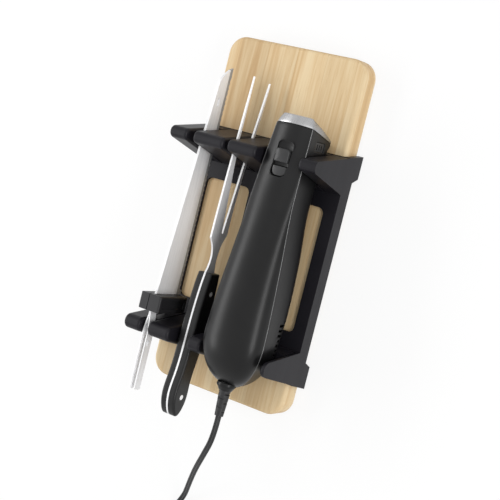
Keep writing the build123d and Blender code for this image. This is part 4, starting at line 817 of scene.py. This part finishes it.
def shell(name, point, steps, lift):
    """Half of the handle's housing: outer skin, inner skin and the rim between them."""
    outer = [[on_skin(point, k, target, 0, lift) for k in range(steps + 1)]
             for target in shell_targets(OUTER_DOME_ANGLE)]
    inner = [[on_skin(point, k, target, -SHELL_WALL, lift) for k in range(steps + 1)]
             for target in shell_targets(INNER_DOME_ANGLE)]
    rows, width = len(outer), steps + 1
    verts = [v for row in outer for v in row] + [v for row in inner for v in row]
    start = rows * width
    faces = []
    for base in (0, start):
        for r in range(rows - 1):
            faces += [(base + r * width + k, base + r * width + k + 1,
                       base + (r + 1) * width + k + 1, base + (r + 1) * width + k) for k in range(steps)]
    for r in range(rows - 1):
        for k in (0, steps):
            faces.append((r * width + k, (r + 1) * width + k, start + (r + 1) * width + k, start + r * width + k))
    faces += [(k, k + 1, start + k + 1, start + k) for k in range(steps)]
    end, inner_end = (rows - 1) * width, start + (rows - 1) * width
    faces.append(tuple(end + k for k in range(width)))
    faces.append(tuple(inner_end + k for k in range(width)))
    faces.append((end, end + steps, inner_end + steps, inner_end))
    return outwards(new_piece(name, verts, faces))


track_y, track_length, track_width, track_depth = TRACK
track_top = crown_point(CROWN_STEPS // 2, track_y, 0, 0)[1]
track_floor = track_top - track_depth
track_outline = rounded_outline((HANDLE_X, track_y), track_length, track_width, TRACK_FRONT_ROUND, TRACK_REAR_ROUND)
upper = shell("upper_housing", crown_point, CROWN_STEPS, SEAM_GAP / 2)
cut(upper, prism("track_cut", track_outline, track_floor - 4, 90),
    drum("relief_cut", RELIEF_HOLE, *RELIEF_HOLE_YS, HANDLE_X, RELIEF_LEVEL))
round_edges(upper, 0.45, 3, 45)
smooth(upper, 40)
dress(upper, "shell_plastic", "handle", "upper_shell")

lower = shell("lower_housing", keel_point, KEEL_STEPS, -SEAM_GAP / 2)
release_y, release_level, release_length, release_height = RELEASE
release_along = release_length / 2 + RELEASE_FIT
release_up = release_height / 2 + RELEASE_FIT
cut(lower, drum("relief_cut", RELIEF_HOLE, *RELIEF_HOLE_YS, HANDLE_X, RELIEF_LEVEL),
    block("release_cut", (HANDLE_X + 5, release_y - release_along, release_level - release_up),
          (HANDLE_X + 40, release_y + release_along, release_level + release_up)))
for step in range(VENT_COUNT):
    vent_y = VENT_FIRST_Y - VENT_PITCH * step
    cut(lower, block("vent_cut", (HANDLE_X - 45, vent_y - VENT_HALF_WIDTH, VENT_LEVELS[0]),
                     (HANDLE_X + 45, vent_y + VENT_HALF_WIDTH, VENT_LEVELS[1])))
round_edges(lower, 0.45, 3, 45)
smooth(lower, 40)
dress(lower, "shell_plastic", "handle", "lower_shell")

# Lighter glossy grey bead along each seam: a painted highlight standing in for the light caught by the seam's edge
HIGHLIGHT_BEAD_RADIUS = 0.38
HIGHLIGHT_BEAD_DOME_ANGLE = 80
for side_name, index in (("right", 0), ("left", CROWN_STEPS)):
    line = [on_skin(crown_point, index, target, 0, 0) for target in shell_targets(HIGHLIGHT_BEAD_DOME_ANGLE)]
    section = [(HIGHLIGHT_BEAD_RADIUS * cos(2 * pi * k / 8), HIGHLIGHT_BEAD_RADIUS * sin(2 * pi * k / 8)) for k in range(8)]
    highlight_bead = smooth(tube_along(f"seam_highlight_bead_{side_name}", line, section), 60)
    dress(highlight_bead, "button_plastic", "handle")
    highlight_bead.data.materials.clear()
    highlight_bead.data.materials.append(seam_highlight_plastic)

# Track under the lock slider
tub = prism("track_tub", rounded_outline((HANDLE_X, track_y), track_length + 3, track_width + 3, 6, 6),
            track_floor - 2.2, track_floor + 1.4)
cut(tub, prism("tub_cut", track_outline, track_floor, 90),
    prism("button_cut", rounded_outline((HANDLE_X, BUTTON_Y), 9.9, 15.9, 1, 6), track_floor - 9, 90))
smooth(round_edges(tub, 0.25), 40)
dress(tub, "shell_plastic", "handle")

# Buttons
slider = crowned_pad("slider_cap", (HANDLE_X, SLIDER_Y), 12.6, 15.2, 3.2, 1.4,
                     track_floor + 0.15, track_floor + 5.75, 1.1, 0.9)
dress(smooth(slider, 38), "button_plastic", "lock", "lock_slider")
push = crowned_pad("push_cap", (HANDLE_X, BUTTON_Y), 9.4, 15.4, 1.2, 5.2,
                   track_floor - 2.85, track_top + 0.4, 0.7, 0.8)
dress(smooth(push, 38), "button_plastic", "button")
push_base = prism("push_flange", rounded_outline((HANDLE_X, BUTTON_Y), 11.8, 17.8, 1, 1),
                  track_floor - 4.85, track_floor - 2.86)
smooth(round_edges(push_base, 0.3), 38)
dress(push_base, "button_plastic", "button", "push_button")

# Flared ring where the strain relief leaves the shells
RING = (
    (-150.0, 9.4), (-151.2, 9.6), (-152.6, 9.2), (-154.2, 7.8), (-156.0, 7.0), (-156.6, 6.4), (-156.6, 5.2),
    (-149.0, 5.2), (-149.0, 9.0),
)
RING_STEPS = 48
ring_angles = [2 * pi * k / RING_STEPS for k in range(RING_STEPS)]
ring_verts = [place(HANDLE_X + radius * cos(angle), y, RELIEF_LEVEL + radius * sin(angle))
              for y, radius in RING for angle in ring_angles]
ring_rows = len(RING)
ring_faces = [(r * RING_STEPS + k, r * RING_STEPS + (k + 1) % RING_STEPS,
               (r + 1) % ring_rows * RING_STEPS + (k + 1) % RING_STEPS, (r + 1) % ring_rows * RING_STEPS + k)
              for r in range(ring_rows) for k in range(RING_STEPS)]
ring = smooth(outwards(new_piece("relief_ring", ring_verts, ring_faces)), 50)
dress(ring, "shell_plastic", "handle")

# Nose collar: a brushed band between two raked planes
COLLAR_STATIONS = 6
collar_rings = []
for grow in (0, -COLLAR_WALL):
    stations = range(COLLAR_STATIONS + 1) if grow == 0 else range(COLLAR_STATIONS, -1, -1)
    for station in stations:
        share = station / COLLAR_STATIONS

        def target(level, share=share):
            return collar_y(level) * (1 - share) + nose_y(level) * share

        ring = [on_skin(crown_point, k, target, grow, 0) for k in range(CROWN_STEPS + 1)]
        ring += [on_skin(keel_point, k, target, grow, 0) for k in range(KEEL_STEPS - 1, 0, -1)]
        collar_rings.append(ring)
count = len(collar_rings[0])
collar_faces = []
for ring in range(len(collar_rings)):
    following = (ring + 1) % len(collar_rings)
    collar_faces += [(ring * count + k, ring * count + (k + 1) % count,
                      following * count + (k + 1) % count, following * count + k) for k in range(count)]
collar = outwards(new_piece("nose_band", [v for ring in collar_rings for v in ring], collar_faces))
round_edges(collar, 0.4, 3, 45)
smooth(collar, 40)
dress(collar, "collar_steel", "handle", "nose_collar")

# Finished copies of the other outer nodes
for node in (
    "cutting_board", "storage_rack", "blade_release", "strain_relief", "blade_left", "blade_right", "guard_left",
    "guard_right", "tang_stud_left", "tang_stud_right", "tip_rivet", "fork_blade", "fork_scale_left",
    "fork_scale_right", "fork_rivet_front", "fork_rivet_rear",
):
    piece = refine(node)
    if slot_of_node[node] == "blade_steel" and "blade_" not in node:
        piece.data.materials[0] = reflection_painted_steel

# The button's spring, which closes as the button goes down, gets a mesh of its own
spring = refine("button_spring")
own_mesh(spring)

# The inner nodes keep their solids
for name, node in nodes.items():
    if not node.hide_render:
        node.data.materials.clear()
        node.data.materials.append(materials[slot_of_node[name]])

# Floor, lamps and world
floor_nodes = Nodes("floor")
floor_nodes.set(Base_Color=(0.93, 0.93, 0.93, 1), Roughness=0.9)
floor_nodes.shader.inputs["Specular IOR Level"].default_value = 0.0
paths = floor_nodes.add("ShaderNodeLightPath")
seen = floor_nodes.math("MAXIMUM", paths.outputs["Is Camera Ray"], paths.outputs["Is Glossy Ray"])
seen = floor_nodes.math("MAXIMUM", seen, paths.outputs["Is Transmission Ray"])
white = floor_nodes.add("ShaderNodeEmission")
white.inputs["Strength"].default_value = 1.0
blend = floor_nodes.add("ShaderNodeMixShader")
floor_nodes.link(floor_nodes.math("MULTIPLY", seen, 0.85), blend.inputs[0])
floor_nodes.link(floor_nodes.shader.outputs[0], blend.inputs[1])
floor_nodes.link(white.outputs[0], blend.inputs[2])
floor_nodes.link(blend.outputs[0], floor_nodes.output.inputs[0])
FLOOR_HALF = 6
floor = new_piece("floor", [(-FLOOR_HALF, -FLOOR_HALF, -0.0004), (FLOOR_HALF, -FLOOR_HALF, -0.0004),
                            (FLOOR_HALF, FLOOR_HALF, -0.0004), (-FLOOR_HALF, FLOOR_HALF, -0.0004)], [(0, 1, 2, 3)])
floor.data.materials.append(floor_nodes.material)

world = bpy.data.worlds.new("studio")
bpy.context.scene.world = world
world.use_nodes = True
tree = world.node_tree
background = tree.nodes["Background"]
path = tree.nodes.new("ShaderNodeLightPath")
shown = path.outputs["Is Camera Ray"]
for other in ("Is Glossy Ray", "Is Transmission Ray"):
    join = tree.nodes.new("ShaderNodeMath")
    join.operation = "MAXIMUM"
    tree.links.new(shown, join.inputs[0])
    tree.links.new(path.outputs[other], join.inputs[1])
    shown = join.outputs[0]
level = tree.nodes.new("ShaderNodeMapRange")
tree.links.new(shown, level.inputs["Value"])
level.inputs["To Min"].default_value = 0.57
level.inputs["To Max"].default_value = 1.0
tree.links.new(level.outputs[0], background.inputs["Strength"])
background.inputs["Color"].default_value = (1, 1, 1, 1)


def lamp(name, at, aim, wide, tall, power):
    """Soft rectangular lamp, its long side along the board."""
    data = bpy.data.lights.new(name, "AREA")
    data.shape = "RECTANGLE"
    data.size = wide
    data.size_y = tall
    data.energy = power
    lamp_object = bpy.data.objects.new(name, data)
    toward = (Vector(aim) - Vector(at)).normalized()
    side = Vector((0, 1, 0)).cross(-toward).normalized()
    along = (-toward).cross(side)
    lamp_object.matrix_world = Matrix.Translation(at) @ Matrix((side, along, -toward)).transposed().to_4x4()
    bpy.context.scene.collection.objects.link(lamp_object)


lamp("left_softbox", (-1.12, 0.0, 0.86), (0, 0, 0.05), 0.36, 1.5, 11)
lamp("right_softbox", (1.35, -0.05, 0.85), (0, 0, 0.05), 0.45, 1.3, 12)
lamp("top_softbox", (0.25, 0.75, 1.5), (0, 0, 0.03), 0.9, 0.6, 1.5)
